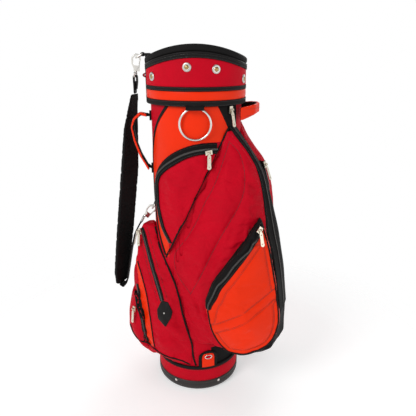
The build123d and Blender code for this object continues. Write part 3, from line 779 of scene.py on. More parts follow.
def reach_to(points, outlines):
    """Distance in metres, on the front view, from each point to the nearest of some drawn lines."""
    marks = []
    for outline in outlines:
        path = smooth_path([(x, z, 0) for x, z in outline], 3.0)
        marks += [(point.x * MM, point.y * MM) for point in path]
    marks = np.array(marks)
    best = np.full(len(points), 9.0)
    for first in range(0, len(points), 4000):
        part = points[first:first + 4000][:, (0, 2)]
        gap = np.sqrt(((part[:, None, :] - marks[None]) ** 2).sum(2)).min(1)
        best[first:first + 4000] = gap
    return best


def inflate(piece, seams, pressure=4.0, growth=0.03, cap=6 * MM, frames=14, still=None):
    """Let the cloth fill and wrinkle between the seams that hold it and the tube behind it."""
    rest = places(piece)
    near_tube = np.hypot(rest[:, 0], rest[:, 1]) < TUBE + 5 * MM
    held = near_tube | (reach_to(rest, seams) < 4 * MM) if seams else near_tube
    if still is not None:
        held |= still(rest / MM)
    group = piece.vertex_groups.new(name="held")
    group.add([int(i) for i in np.nonzero(held)[0]], 1.0, "REPLACE")
    cloth = piece.modifiers.new("Cloth", "CLOTH")
    settings = cloth.settings
    settings.vertex_group_mass = "held"
    settings.use_pressure = True
    settings.uniform_pressure_force = pressure
    settings.shrink_min = settings.shrink_max = -growth
    settings.effector_weights.gravity = 0
    settings.quality = 4
    settings.bending_stiffness = 0.4
    cloth.point_cache.frame_start, cloth.point_cache.frame_end = 1, frames
    for step in range(1, frames + 1):
        bpy.context.scene.frame_set(step)
    swollen = piece.evaluated_get(bpy.context.evaluated_depsgraph_get()).to_mesh()
    moved = np.zeros(len(rest) * 3, np.float32)
    swollen.vertices.foreach_get("co", moved)
    shift = moved.reshape(-1, 3) - rest
    piece.modifiers.clear()
    piece.vertex_groups.clear()
    bpy.context.scene.frame_set(1)
    far = np.linalg.norm(shift, axis=1, keepdims=True)
    place_all(piece, rest + shift * np.minimum(1, cap / np.maximum(far, 1e-9)))
    divide = piece.modifiers.new("Finer", "SUBSURF")
    divide.levels = divide.render_levels = 1
    apply_modifiers(piece)
    for face in piece.data.polygons:
        face.use_smooth = True
    return piece


def press_seams(piece, outlines, depth, width):
    """Pull the padding in along sewn lines on the front."""
    where, out = places(piece), normals(piece)
    gap = reach_to(where, outlines)
    pull = depth * np.exp(-(gap / width) ** 2) * np.clip(-out[:, 1] * 1.6, 0, 1)
    place_all(piece, where - out * pull[:, None])


def crease(piece, folds):
    """Raise or sink soft folds, each given by its two ends on the front view, its height and its width."""
    where, out = places(piece), normals(piece)
    lift = np.zeros(len(where))
    for (x1, z1), (x2, z2), height, width in folds:
        a, b = np.array((x1, z1)) * MM, np.array((x2, z2)) * MM
        along = (where[:, (0, 2)] - a) @ (b - a) / ((b - a) @ (b - a))
        share = np.clip(along, 0, 1)
        gap = np.linalg.norm(where[:, (0, 2)] - a - share[:, None] * (b - a), axis=1)
        ridge = np.exp(-(gap / (width * MM)) ** 2)
        lift += 1.7 * height * MM * ridge * np.sin(pi * np.clip(along, 0.02, 0.98)) ** 0.7
    lift *= np.clip(-out[:, 1] * 1.8, 0, 1)
    place_all(piece, where + out * lift[:, None])


def rumple(piece, height, size, seed):
    """Uneven, lazy waves over the whole cloth."""
    where, out = places(piece), normals(piece)
    wave = [noise.noise(Vector(point) / size + Vector((seed, 0, 0))) for point in where]
    place_all(piece, where + out * (np.array(wave) * height)[:, None])


def tuck(piece, border, side):
    """Draw the cloth beyond a border in against the tube, so that the piping closes the pocket's edge."""
    where = places(piece)
    low, high = min(z for _, z in border) * MM, max(z for _, z in border) * MM
    edge = across_at(border, where[:, 2] / MM) * MM
    beyond = np.clip(side * (where[:, 0] - edge) / (2 * MM), 0, 1)
    beyond *= (where[:, 1] < -20 * MM) & (where[:, 2] > low) & (where[:, 2] < high)
    reach = np.hypot(where[:, 0], where[:, 1])
    share = 1 - beyond * (1 - np.minimum(1, (TUBE - 2 * MM) / reach))
    where[:, :2] *= share[:, None]
    place_all(piece, where)


def inside(outline, across, up):
    """Which points lie within an outline on the front view."""
    within = np.zeros(len(across), bool)
    for (x1, z1), (x2, z2) in zip(outline, outline[1:] + outline[:1]):
        if z1 == z2:
            continue
        crosses = (z1 > up) != (z2 > up)
        within ^= crosses & (across < x1 + (up - z1) * (x2 - x1) / (z2 - z1))
    return within


def tuck_outside(piece, outline):
    """Draw everything outside an outline in against the tube."""
    where = places(piece)
    out = ~inside(outline, where[:, 0] / MM, where[:, 2] / MM)
    reach = np.hypot(where[:, 0], where[:, 1])
    share = np.where(out, np.minimum(1, (TUBE - 2 * MM) / reach), 1.0)
    where[:, :2] *= share[:, None]
    place_all(piece, where)


def face_centres(piece):
    centres = np.zeros(len(piece.data.polygons) * 3, np.float32)
    turned = np.zeros_like(centres)
    piece.data.polygons.foreach_get("center", centres)
    piece.data.polygons.foreach_get("normal", turned)
    return centres.reshape(-1, 3) / MM, turned.reshape(-1, 3)


def colour_faces(piece, finishes, choice):
    """Give each face one of the finishes, by number."""
    piece.data.materials.clear()
    for finish in finishes:
        piece.data.materials.append(Finish.made[finish])
    piece.data.polygons.foreach_set("material_index", choice.astype(np.int32))
    piece.data.update()


def across_at(outline, height):
    """How far across an outline stands at each height."""
    ordered = sorted((z, x) for x, z in outline)
    return np.interp(height, [z for z, _ in ordered], [x for _, x in ordered])


# ---- Pockets --------------------------------------------------------------------------------------
CLOTH_SQUARE = 4.6 * MM
MAIN_FOLDS = [
    ((96, 640), (140, 575), 2.6, 9), ((104, 600), (148, 560), -2.4, 7), ((112, 560), (160, 520), 2.2, 10),
    ((84, 560), (52, 480), 2.5, 16), ((60, 400), (96, 520), -2.6, 9), ((84, 480), (130, 520), 2.4, 12),
    ((20, 350), (60, 450), -3.0, 9), ((44, 380), (92, 470), 3.0, 11),
    ((-20, 300), (14, 240), 3.4, 8), ((-8, 300), (22, 220), -3.4, 6), ((8, 310), (26, 200), 3.0, 7),
    ((-34, 260), (10, 180), -2.6, 7), ((-30, 300), (-2, 190), 2.8, 8), ((-12, 200), (24, 140), 2.4, 8),
    ((20, 190), (56, 130), -2.4, 7),
]
LEFT_FOLDS = [
    ((-100, 340), (-68, 322), 2.6, 7), ((-96, 318), (-60, 300), -2.2, 6), ((-88, 280), (-54, 262), 2.4, 8),
    ((-84, 210), (-40, 180), 2.6, 10), ((-70, 180), (-30, 130), -2.4, 9), ((-104, 190), (-84, 130), 2.0, 10),
    ((-60, 250), (-44, 200), -2.2, 8),
]
UPPER_FOLDS = [
    ((-70, 600), (-50, 560), 2.2, 9), ((-60, 560), (-20, 590), 2.0, 12), ((-84, 560), (-66, 500), -1.8, 9),
    ((-50, 530), (-30, 490), 2.0, 11), ((-20, 620), (10, 600), -1.6, 10),
]


def main_pocket(skin):
    piece = soft_copy("main_pocket_cloth", "main_pocket", CLOTH_SQUARE)
    seams = [MAIN_ZIP_INNER, POCKET_DIAGONAL, FACE_STITCH_LEFT, FACE_STITCH_RIGHT, BALL_EDGE]
    inflate(piece, seams, 3.5, still=lambda spots: spots[:, 0] > across_at(BLACK_FROM, spots[:, 2]) + 6)
    where = places(piece)
    where[:, 2] += np.clip(165 * MM - where[:, 2], 0, 1) * 0.22
    place_all(piece, where)
    crease(piece, MAIN_FOLDS)
    rumple(piece, 1.6 * MM, 42 * MM, 3)
    press_seams(piece, [FACE_STITCH_LEFT, FACE_STITCH_RIGHT], 2.6 * MM, 5 * MM)
    tuck(piece, POCKET_DIAGONAL, -1)
    tuck(piece, LEFT_BORDER[2:], -1)
    centre, turned = face_centres(piece)
    black = (centre[:, 0] > across_at(BLACK_FROM, centre[:, 2])) | (centre[:, 1] > -62)
    black |= (centre[:, 2] < 150) & (turned[:, 2] < -0.55)
    black |= (centre[:, 0] > 84) & (centre[:, 2] < 196)
    colour_faces(piece, ["red_nylon", "black_cloth"], black)
    skin.add(piece)
    keep(piece, "bag", "red_nylon", "main_pocket")


def slim_top(piece, low, high):
    """Let a pocket run out smoothly to the tube towards its top."""
    where = places(piece)
    reach = np.hypot(where[:, 0], where[:, 1])
    share = np.clip((where[:, 2] / MM - low) / (high - low), 0, 1)
    wanted = np.where(reach > TUBE, TUBE - 1 * MM + (reach - TUBE) * (1 - 0.75 * share ** 1.5), reach)
    where[:, :2] *= (np.where(share > 0, wanted, reach) / reach)[:, None]
    place_all(piece, where)


def side_pocket(skin):
    piece = soft_copy("side_pocket_cloth", "side_pocket", CLOTH_SQUARE)
    inflate(piece, [], 3.5, 0.035, 4 * MM)
    rumple(piece, 2.0 * MM, 48 * MM, 11)
    slim_top(piece, 600, 705)
    centre, turned = face_centres(piece)
    angle = np.degrees(np.arctan2(centre[:, 0], -centre[:, 1]))
    choice = np.where((angle > 104) & (angle < 113) & (centre[:, 2] < 600), 1, 0)
    choice = np.where((centre[:, 2] < 150) & (turned[:, 2] < -0.5), 2, choice)
    colour_faces(piece, ["red_nylon", "orange_leather", "black_cloth"], choice)
    skin.add(piece)
    keep(piece, "bag", "red_nylon", "side_pocket")


def draw_to_border(piece):
    """Carry the pocket's front edge round the tube until it passes its border."""
    where = places(piece)
    edge = across_at(LEFT_BORDER, where[:, 2] / MM) * MM
    near = np.clip(1 - (edge - where[:, 0]) / (46 * MM), 0, 1) * (where[:, 1] < 0)
    turn = np.radians(7.0) * near
    x, y = where[:, 0].copy(), where[:, 1].copy()
    where[:, 0] = x * np.cos(turn) - y * np.sin(turn)
    where[:, 1] = x * np.sin(turn) + y * np.cos(turn)
    place_all(piece, where)


def left_pocket(skin):
    piece = soft_copy("left_pocket_cloth", "left_pocket", CLOTH_SQUARE)
    inflate(piece, [LEFT_ZIP, ORANGE_STRIP_RIGHT], 3.5)
    draw_to_border(piece)
    crease(piece, LEFT_FOLDS)
    rumple(piece, 1.8 * MM, 40 * MM, 5)
    press_seams(piece, LEFT_FLAP_SEAMS, 2.0 * MM, 4 * MM)
    tuck(piece, LEFT_BORDER, 1)
    centre, turned = face_centres(piece)
    low = (centre[:, 2] < 352) & (centre[:, 2] > 119)
    front = centre[:, 1] < 0
    orange = low & front & (centre[:, 0] < across_at(ORANGE_STRIP_RIGHT, centre[:, 2]))
    orange &= centre[:, 0] > across_at(ORANGE_STRIP_LEFT, centre[:, 2]) - 4
    choice = np.where(orange, 1, 0)
    choice = np.where((centre[:, 2] < 130) & (turned[:, 2] < -0.6), 2, choice)
    colour_faces(piece, ["red_nylon", "orange_leather", "black_cloth"], choice)
    skin.add(piece)
    keep(piece, "bag", "red_nylon", "left_pocket")


def low_left_pocket(skin):
    piece = soft_copy("low_left_pocket_cloth", "low_left_pocket", CLOTH_SQUARE)
    inflate(piece, [LOW_LEFT_ZIP], 3.5, 0.02, 5 * MM)
    rumple(piece, 1.6 * MM, 36 * MM, 7)
    colour_faces(piece, ["red_nylon"], np.zeros(len(piece.data.polygons)))
    skin.add(piece)
    keep(piece, "bag", "red_nylon", "low_left_pocket")


def upper_pocket(skin):
    piece = soft_copy("upper_pocket_cloth", "upper_pocket", CLOTH_SQUARE * 0.8, 4)
    inflate(piece, [UPPER_ZIP_INNER, POCKET_DIAGONAL], 3.0, 0.03, 4 * MM)
    crease(piece, UPPER_FOLDS)
    rumple(piece, 1.5 * MM, 38 * MM, 9)
    tuck_outside(piece, UPPER_ZIP_INNER + POCKET_DIAGONAL[:0:-1])
    colour_faces(piece, ["red_nylon"], np.zeros(len(piece.data.polygons)))
    skin.add(piece)
    keep(piece, "bag", "red_nylon", "upper_pocket")


def ball_pocket(skin):
    piece = soft_copy("ball_pocket_leather", "ball_pocket", CLOTH_SQUARE, 5)
    inflate(piece, [BALL_PANEL_HIGH, BALL_PANEL_LOW], 3.5, 0.012, 3.5 * MM)
    rumple(piece, 0.9 * MM, 45 * MM, 13)
    panels = [BALL_PANEL_HIGH + BALL_PANEL_HIGH[:1], BALL_PANEL_LOW + BALL_PANEL_LOW[:1]]
    press_seams(piece, panels, 2.2 * MM, 4.5 * MM)
    centre, _ = face_centres(piece)
    gusset_side = (centre[:, 2] > 284) & (centre[:, 0] < across_at(BALL_ZIP_INNER, centre[:, 2]) - 4)
    edge = gusset_side | (centre[:, 2] > 480) | (centre[:, 1] > -120)
    colour_faces(piece, ["orange_leather", "black_cloth"], edge)
    skin.add(piece)
    keep(piece, "bag", "orange_pu", "ball_pocket")


# ---- Tube cover -----------------------------------------------------------------------------------
def angle_at(edge, height):
    ordered = sorted((z, angle) for angle, z in edge)
    return np.interp(height, [z for z, _ in ordered], [angle for _, angle in ordered])


def tube_cover(skin):
    """The sewn cover of the tube: an orange front panel, a black panel for the main zip, a black patch of
    painted shadow low down to the right of the base tab, red elsewhere.
    """
    low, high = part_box("body_cover")[0].z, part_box("body_cover")[1].z
    inner = TUBE - 3 * MM
    turns, levels = 240, 200
    rows = []
    for i in range(turns):
        angle = 360 * i / turns - 180
        outer = []
        for k in range(levels + 1):
            height = low + (high - low) * k / levels
            slack = noise.noise(polar(1, angle, height * 9) * 2.2) * 0.6 * MM
            outer.append(polar(TUBE - 0.3 * MM + slack, angle, height))
        rows.append(outer + [polar(inner, angle, high), polar(inner, angle, low)])
    piece = grid_mesh("tube_cover_cloth", rows, "red_nylon", closed=True)
    centre, _ = face_centres(piece)
    angle = np.degrees(np.arctan2(centre[:, 0], -centre[:, 1]))
    height = centre[:, 2]
    orange = (angle > angle_at(PANEL_LEFT, height)) & (angle < angle_at(PANEL_RIGHT, height)) & (height > 385)
    over_pocket = height > np.interp(centre[:, 0], [x for x, _ in UPPER_ARC], [z for _, z in UPPER_ARC])
    orange &= over_pocket | (centre[:, 0] < across_at(UPPER_SIDE, height))
    black = (angle > angle_at(PANEL_RIGHT, height)) & (angle < angle_at(V_RIGHT, height)) & (height > 620)
    # Painted shadow: the cover low down to the right of the base tab is coloured black where shade falls beside
    # the tab; it is not a black panel.
    black |= (height < 130) & (angle > 20) & (angle < 100)
    cloths = ["red_nylon", "orange_leather", "black_cloth"]
    colour_faces(piece, cloths, np.where(black, 2, np.where(orange, 1, 0)))
    skin.add(piece)
    keep(piece, "bag", "orange_pu", "body_cover")


def tube_trims():
    piping_line = on_tube(PANEL_LEFT)
    band("panel_binding_left", None, piping_line, 7.5 * MM, "rib_tape", 1.2 * MM, slot="black_trim")
    band("zip_panel_left_edge", None, on_tube(PANEL_RIGHT[:2]), 3 * MM, "rib_tape", 0.9 * MM,
         slot="black_trim")
    band("zip_panel_right_edge", None, on_tube(V_RIGHT[:2]), 3 * MM, "rib_tape", 0.9 * MM,
         slot="black_trim")
    for side in (-1, 1):
        seam = on_tube([(side * BACK_SEAM_ANGLE, 751), (side * BACK_SEAM_ANGLE, 79)], pitch=6)
        band(f"back_binding_{'left' if side < 0 else 'right'}", None, seam, 7 * MM, "rib_tape", 1.2 * MM,
             slot="black_trim")


# ---- Trims on the pockets -------------------------------------------------------------------------
def round_line(outline, radius, pitch=4.0):
    """Lay a line drawn on the front view on an upright cylinder."""
    line = []
    for point in smooth_path([(x, z, 0) for x, z in outline], pitch):
        across = min(max(point.x * MM, -0.999 * radius), 0.999 * radius)
        place = Vector((across, -sqrt(radius ** 2 - across ** 2), point.y * MM))
        line.append((place, Vector((place.x, place.y, 0)).normalized()))
    return line


def matched(line, count):
    """The same laid line with a given number of places."""
    places_now = [point for point, _ in line]
    steps = np.cumsum([0.0] + [(b - a).length for a, b in zip(places_now, places_now[1:])])
    wanted = np.linspace(0, steps[-1], count)
    columns = [np.interp(wanted, steps, [(*point, *out)[k] for point, out in line]) for k in range(6)]
    return [(Vector(row[:3]), Vector(row[3:]).normalized()) for row in zip(*columns)]


def gusset(name, edge_a, edge_b, finish, bulge, slot="zip_tape", coil_at=0.5, teeth_tree=None,
           stitch_tree=None, replaced=(), skin=None):
    """A zip panel sewn between two laid edges: its cloth, the coil under its flap, and stitched sides."""
    count = max(len(edge_a), len(edge_b))
    edge_a, edge_b = matched(edge_a, count), matched(edge_b, count)
    rows, coil, sides = [], [], [[], []]
    for (a, out_a), (b, out_b) in zip(edge_a, edge_b):
        out = (out_a + out_b).normalized()
        def across(share, lift):
            """A place between the two edges, lifted from the cloth below it."""
            middle = a.lerp(b, share)
            foot = skin.drop(middle, out, 16 * MM) if skin is not None else middle
            higher = max(0, (foot - middle).dot(out))
            return middle + out * (higher + lift + bulge * sin(pi * share))

        low = [a.lerp(b, k / 8) - out * 2.2 * MM for k in range(9)]
        rows.append([across(k / 8, 0.8 * MM) for k in range(9)] + low[::-1])
        coil.append((across(coil_at, 0.9 * MM), out))
        sides[0].append((across(0.12, 0.9 * MM), out))
        sides[1].append((across(0.88, 0.9 * MM), out))
    keep(grid_mesh(name + "_panel", rows, finish), "bag", slot, *replaced)
    if teeth_tree is not None:
        band(name + "_flap", None, coil, 5.5 * MM, "rib_tape", 1.0 * MM)
        row(name + "_coil", [coil], teeth_tree, 2.0 * MM, 1.1 * MM, 3.8 * MM, 1.4 * MM, 1.0 * MM,
            slot="zip_tape")
    if stitch_tree is not None:
        row(name + "_stitches", sides, stitch_tree, 3.6 * MM, 2.5 * MM, 0.6 * MM, 0.5 * MM, 0.0)


def zip_strip(name, skin, line, width, teeth_tree=None, stitch_tree=None, node=()):
    """A zip: its tape, the raised coil along its middle, and a stitched edge on both sides."""
    band(name + "_tape", skin, line, width, "zip_cloth", 1.8 * MM, replaced=node)
    raised = [(point + out * 1.9 * MM, out) for point, _, out, _ in frames_along(line)]
    band(name + "_flap", None, [(p - o * 0.3 * MM, o) for p, o in raised], 6 * MM, "rib_tape", 1.0 * MM)
    row(name + "_coil", [raised], teeth_tree, 2.0 * MM, 1.1 * MM, 4.2 * MM, 1.4 * MM, 1.1 * MM,
        slot="zip_tape")
    edges = []
    for hand in (-1, 1):
        side_line = []
        for point, _, out, side in frames_along(line):
            foot = skin.drop(point + side * hand * (width / 2 - 1.8 * MM), out)
            side_line.append((foot, out))
        edges.append(side_line)
    row(name + "_stitches", edges, stitch_tree, 3.6 * MM, 2.5 * MM, 0.6 * MM, 0.5 * MM, 1.7 * MM)


def pocket_trims(skin):
    teeth = row_tree("coil_row", "tooth", "coil_grey")
    black_stitch = row_tree("black_stitch_row", "stitch", "coil_grey")
    dark_stitch = row_tree("dark_stitch_row", "stitch", "dark_thread")
    brown_stitch = row_tree("brown_stitch_row", "stitch", "brown_thread")
    red_stitch = row_tree("red_stitch_row", "stitch", "red_thread")

    # Piping along the pockets' borders
    piping("diagonal_piping", skin.lay(POCKET_DIAGONAL), 2.3 * MM)
    piping("left_border_piping", skin.lay(LEFT_BORDER, even=5), 2.4 * MM)
    piping("face_edge_piping", skin.lay(MAIN_ZIP_INNER), 1.5 * MM)
    piping("ball_pocket_piping", skin.lay(moved(BALL_EDGE, 3.5), even=4), 2.0 * MM)
    piping("left_bottom_piping", skin.lay(LEFT_BOTTOM, even=5), 2.2 * MM)
    piping("orange_strip_piping", skin.lay(ORANGE_STRIP_RIGHT), 1.8 * MM)
    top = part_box("low_left_pocket")[1].z / MM
    piping("low_left_top_piping", skin.lay([(-174, top), (-156, top - 6)]), 2.0 * MM)

    # Zips
    top = APEX[1] * MM
    inner = flank_line([polar(TUBE + MM, 44, top)] + tape_places("main_zip_tape", 0, 650, MAIN_ZIP_LOW))
    outer = flank_line([polar(TUBE + MM, 58, top)] + tape_places("main_zip_tape", 1, 650, MAIN_ZIP_LOW))
    gusset("main_zip", inner, outer, "black_cloth", 1.6 * MM, teeth_tree=teeth, stitch_tree=black_stitch,
           replaced=["main_zip_tape"], skin=skin)
    inner = round_line(UPPER_ZIP_INNER, TUBE + 12.6 * MM)
    outer = round_line(UPPER_ZIP_OUTER, TUBE + 1.4 * MM)
    gusset("upper_zip", outer, inner, "zip_cloth", 2.2 * MM, coil_at=0.55, teeth_tree=teeth,
           stitch_tree=black_stitch, replaced=["upper_zip_tape"])
    outer, inner = skin.lay(BALL_ZIP_OUTER, even=5), skin.lay(BALL_ZIP_INNER, even=5)
    gusset("ball_zip", outer, inner, "zip_cloth", 2.0 * MM, coil_at=0.6, teeth_tree=teeth,
           stitch_tree=black_stitch, replaced=["ball_zip_tape"], skin=skin)
    zip_strip("left_zip", skin, skin.lay(LEFT_ZIP, even=4), 13 * MM, teeth_tree=teeth,
              stitch_tree=black_stitch, node=["left_zip_tape"])
    zip_strip("low_left_zip", skin, skin.lay(LOW_LEFT_ZIP, even=14), 11 * MM, teeth_tree=teeth,
              stitch_tree=black_stitch, node=["low_left_zip_tape"])
    low, high = (corner.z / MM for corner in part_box("side_zip_tape"))
    side = flank_line(tape_places("side_zip_tape", 0.5, high - 2, low + 2, 5))
    zip_strip("side_zip", skin, side, 10 * MM, teeth_tree=teeth, stitch_tree=black_stitch,
              node=["side_zip_tape"])

    # Sewn lines
    face = skin.lay(FACE_STITCH_LEFT), skin.lay(FACE_STITCH_RIGHT)
    row("face_stitches", face, dark_stitch, 3.4 * MM, 2.9 * MM, 1.3 * MM, 0.9 * MM, 0.3 * MM)
    edge = [skin.lay(moved(POCKET_DIAGONAL, 6)), skin.lay(moved(MAIN_ZIP_INNER, -6))]
    row("face_edge_stitches", edge, red_stitch, 3.8 * MM, 2.8 * MM, 0.8 * MM, 0.7 * MM, 0.3 * MM)
    panels = []
    for outline in (BALL_PANEL_HIGH, BALL_PANEL_LOW):
        for gap in (0, 2.4):
            laid = skin.lay(moved(outline, gap, True), closed=True)
            panels.append(laid + laid[:1])
    row("ball_panel_stitches", panels, brown_stitch, 3.3 * MM, 2.7 * MM, 0.85 * MM, 0.7 * MM, 0.2 * MM,
        slot="orange_pu")
    flaps = [skin.lay(seam) for seam in LEFT_FLAP_SEAMS]
    row("left_flap_stitches", flaps, dark_stitch, 3.4 * MM, 2.9 * MM, 1.2 * MM, 0.9 * MM, 0.3 * MM)
    filled_patch("zip_end_patch", skin, PATCH, "patch_leather", 2.4 * MM, "black_leather", "leather_patch")
    row("left_border_stitches", [skin.lay(moved(LEFT_BORDER[2:], 6))], red_stitch, 3.8 * MM, 2.8 * MM,
        0.8 * MM, 0.7 * MM, 0.3 * MM)


def filled_patch(name, skin, outline, finish, height, slot, *replaced):
    """A flat shape cut from sheet and laid on the surface behind it, with a rounded raised edge."""
    path = even_path([Vector((x, z, 0)) for x, z in outline + outline[:1]], 2.5, True)
    centre = sum(path, Vector((0, 0, 0))) / len(path)
    rows = []
    for share in (0.0, 0.06, 0.15, 0.4, 0.7, 0.98):
        line = skin.lay([(p.x, p.y) for p in (centre + (q - centre) * (1 - share) for q in path)],
                        1.0, even=0, spots=True)
        if share == 0:
            rows.append([place - normal * 0.8 * MM for place, normal in line])
        rows.append([place + normal * height * min(1, 0.5 + share * 6) for place, normal in line])
    middle, out = line[0]
    rivet = circle_line(middle + out * height, out, 1.6 * MM)
    piping(name + "_rivet", rivet, 0.8 * MM, "washer_silver", closed=True, slot="steel")
    return keep(grid_mesh(name, rows, finish), "bag", slot, *replaced)


def circle_line(centre, out, radius, count=14):
    """A small laid circle about a point on a surface."""
    side = out.cross(Vector((0, 0, 1))).normalized()
    up = side.cross(out)
    turns = [2 * pi * k / count for k in range(count)]
    return [(centre + (side * cos(turn) + up * sin(turn)) * radius, out) for turn in turns]


# ---- Collar, rim and dividers ---------------------------------------------------------------------
def rim_height(angle, drop=0.0):
    """Height of the rim's top, or of a line a drop below it, at an angle."""
    across = RIM_OUT * sin(radians(angle))
    return RIM_TOP - SADDLE_RADIUS + sqrt(SADDLE_RADIUS ** 2 - across ** 2) - drop


def rounded(radius_in, radius_out, low, high, soft):
    """A rounded bar's profile between two radii and two heights."""
    corners = [(radius_out, low, -90, 0), (radius_out, high, 0, 90), (radius_in, high, 90, 180),
               (radius_in, low, 180, 270)]
    points = []
    for radius, height, first, last in corners:
        middle_r = radius - soft if radius == radius_out else radius + soft
        middle_z = height + soft if height == low else height - soft
        for k in range(4):
            turn = radians(first + (last - first) * k / 3)
            points.append((middle_r + soft * cos(turn), middle_z + soft * sin(turn)))
    return points


def rim():
    """Black rim: a full padded roll on top, a groove, and a ribbed binding below it."""
    def roll(angle):
        top = rim_height(angle)
        return rounded(102.5 * MM, RIM_OUT - 0.6 * MM, top - 15 * MM, top, 5.5 * MM)

    def cord(angle):
        middle = rim_height(angle, 17 * MM)
        turns = [2 * pi * k / 8 for k in range(8)]
        return [(RIM_OUT - 2.0 * MM + 2 * MM * cos(turn), middle + 2 * MM * sin(turn)) for turn in turns]

    def binding(angle):
        top = rim_height(angle, 18.5 * MM)
        return rounded(COLLAR - 2 * MM, RIM_OUT - 0.4 * MM, top - 9.5 * MM, top, 1.2 * MM)

    around("rim_roll", roll, "black_cloth", replaced=["rim_trim"])
    around("rim_cord", cord, "patch_leather")
    around("rim_binding", binding, "rib_tape")


def side_loop():
    """A small folded loop at the collar's left, black outside and red inside."""
    for name, finish, inner, outer in (("side_loop_outside", "rib_tape", 6.2, 7.4),
                                       ("side_loop_inside", "red_nylon", 5.0, 6.1)):
        rows = []
        for k in range(13):
            turn = pi * k / 12
            row_points = []
            for reach, width in ((outer, -8), (outer, 8), (inner, 8), (inner, -8)):
                middle = polar(COLLAR - 0.5 * MM + reach * 1.5 * MM * sin(turn), -90, 812 * MM)
                row_points.append(middle + Vector((0, 22 * MM + width * MM, reach * 0.8 * MM * cos(turn))))
            rows.append(row_points)
        keep(grid_mesh(name, rows, finish), "bag", "black_trim" if finish == "rib_tape" else "red_nylon")


def collar(stitch):
    def wrap(angle):
        top = rim_height(angle, 26 * MM)
        slack = noise.noise(polar(2.2, angle, 0)) * 0.7 * MM
        levels = [COLLAR_TAPE_TOP - 1 * MM + (top - COLLAR_TAPE_TOP + 1 * MM) * k / 10 for k in range(11)]
        outer = [(COLLAR - 0.6 * MM + slack * sin(pi * k / 10), level) for k, level in enumerate(levels)]
        return outer + [(COLLAR - 3 * MM, top), (COLLAR - 3 * MM, COLLAR_TAPE_TOP - 1 * MM)]

    def middle_band(angle):
        puff = [(COLLAR - 0.9 * MM + 0.9 * MM * sin(pi * k / 6),
                 COLLAR_MIDDLE_LOW + (COLLAR_MIDDLE_HIGH - COLLAR_MIDDLE_LOW) * k / 6) for k in range(7)]
        return puff + [(COLLAR - 3 * MM, COLLAR_MIDDLE_HIGH), (COLLAR - 3 * MM, COLLAR_MIDDLE_LOW)]

    around("collar_wrap", wrap, "red_nylon", slot="red_nylon", replaced=["cuff_wrap"])
    around("collar_orange_band", middle_band, "orange_leather", slot="orange_pu", replaced=["cuff_orange_band"])
    tapes = [(COLLAR_LOW, COLLAR_MIDDLE_LOW + 0.5 * MM),
             (COLLAR_MIDDLE_HIGH - 0.5 * MM, COLLAR_TAPE_TOP)]
    for name, (low, high) in zip(("collar_lower_tape", "collar_upper_tape"), tapes):
        nodes = ["cuff_tapes"] if name == "collar_lower_tape" else []
        around(name, lambda angle: rounded(COLLAR - 3 * MM, COLLAR + 0.3 * MM, low, high, 1 * MM), "rib_tape",
               replaced=nodes)
    lines = []
    for height in (COLLAR_LOW + 2 * MM, COLLAR_MIDDLE_LOW - 2 * MM, COLLAR_MIDDLE_HIGH + 2 * MM,
                   COLLAR_TAPE_TOP - 2 * MM):
        lines.append([(polar(COLLAR + 0.3 * MM, angle, height), polar(1, angle, 0))
                      for angle in range(0, 361, 3)])
    for drop in (20.3 * MM, 26 * MM):
        lines.append([(polar(RIM_OUT - 0.4 * MM, angle, rim_height(angle, drop)), polar(1, angle, 0))
                      for angle in range(0, 361, 3)])
    seam = [(polar(COLLAR - 0.3 * MM, -87, height * MM), polar(1, -87, 0)) for height in range(753, 846, 4)]
    band("collar_side_tape", None, seam, 7 * MM, "rib_tape", 1.2 * MM, slot="black_trim")
    side_loop()
    row("collar_stitches", lines, stitch, 3.8 * MM, 2.6 * MM, 0.7 * MM, 0.6 * MM, 0.1 * MM)


def snap_studs():
    """Press studs for the rain hood: a silver washer under a brass dome."""
    domes = []
    profile = [(0.0, 3.8), (1.8, 3.7), (3.4, 3.2), (4.5, 2.4), (5.0, 1.7), (5.3, 1.4)]
    plate = [(4.4, 1.5), (5.2, 1.9), (8.2, 1.8), (9.3, 1.2), (9.7, 0.3), (9.7, -0.6)]
    points = np.array([vertex.co for vertex in NODES["cuff_snaps"].data.vertices])
    angle = np.degrees(np.arctan2(points[:, 0], -points[:, 1]))
    order = np.argsort(angle)
    groups = np.split(order, np.nonzero(np.diff(angle[order]) > 8)[0] + 1)
    for group in groups:
        middle = points[group].mean(0)
        place = (degrees(atan2(middle[0], -middle[1])), float(middle[2]))
        domes.append(place)
    for name, shape, finish, node in (("stud_washers", plate, "washer_silver", ["cuff_snaps"]),
                                      ("stud_domes", profile, "stud_brass", [])):
        bm = bmesh.new()
        for angle, height in domes:
            out, side = polar(1, angle, 0), polar(1, angle + 90, 0)
            base = polar(COLLAR - 0.4 * MM, angle, height)
            rings = []
            for radius, lift in shape:
                ring = []
                for k in range(28):
                    turn = 2 * pi * k / 28
                    round_it = side * cos(turn) + Vector((0, 0, 1)) * sin(turn)
                    spot = base + out * lift * MM + round_it * radius * MM
                    ring.append(bm.verts.new(spot))
                rings.append(ring)
            for a, b in zip(rings, rings[1:]):
                for k in range(28):
                    bm.faces.new([a[k], a[(k + 1) % 28], b[(k + 1) % 28], b[k]]).smooth = True
            bm.faces.new(rings[-1])
            bm.faces.new(rings[0][::-1])
        bmesh.ops.remove_doubles(bm, verts=bm.verts, dist=0.01 * MM)
        bmesh.ops.recalc_face_normals(bm, faces=bm.faces)
        mesh = bpy.data.meshes.new(name)
        bm.to_mesh(mesh)
        bm.free()
        mesh.materials.append(Finish.made[finish])
        keep(new_piece(name, mesh), "bag", "snap_metal", *node)


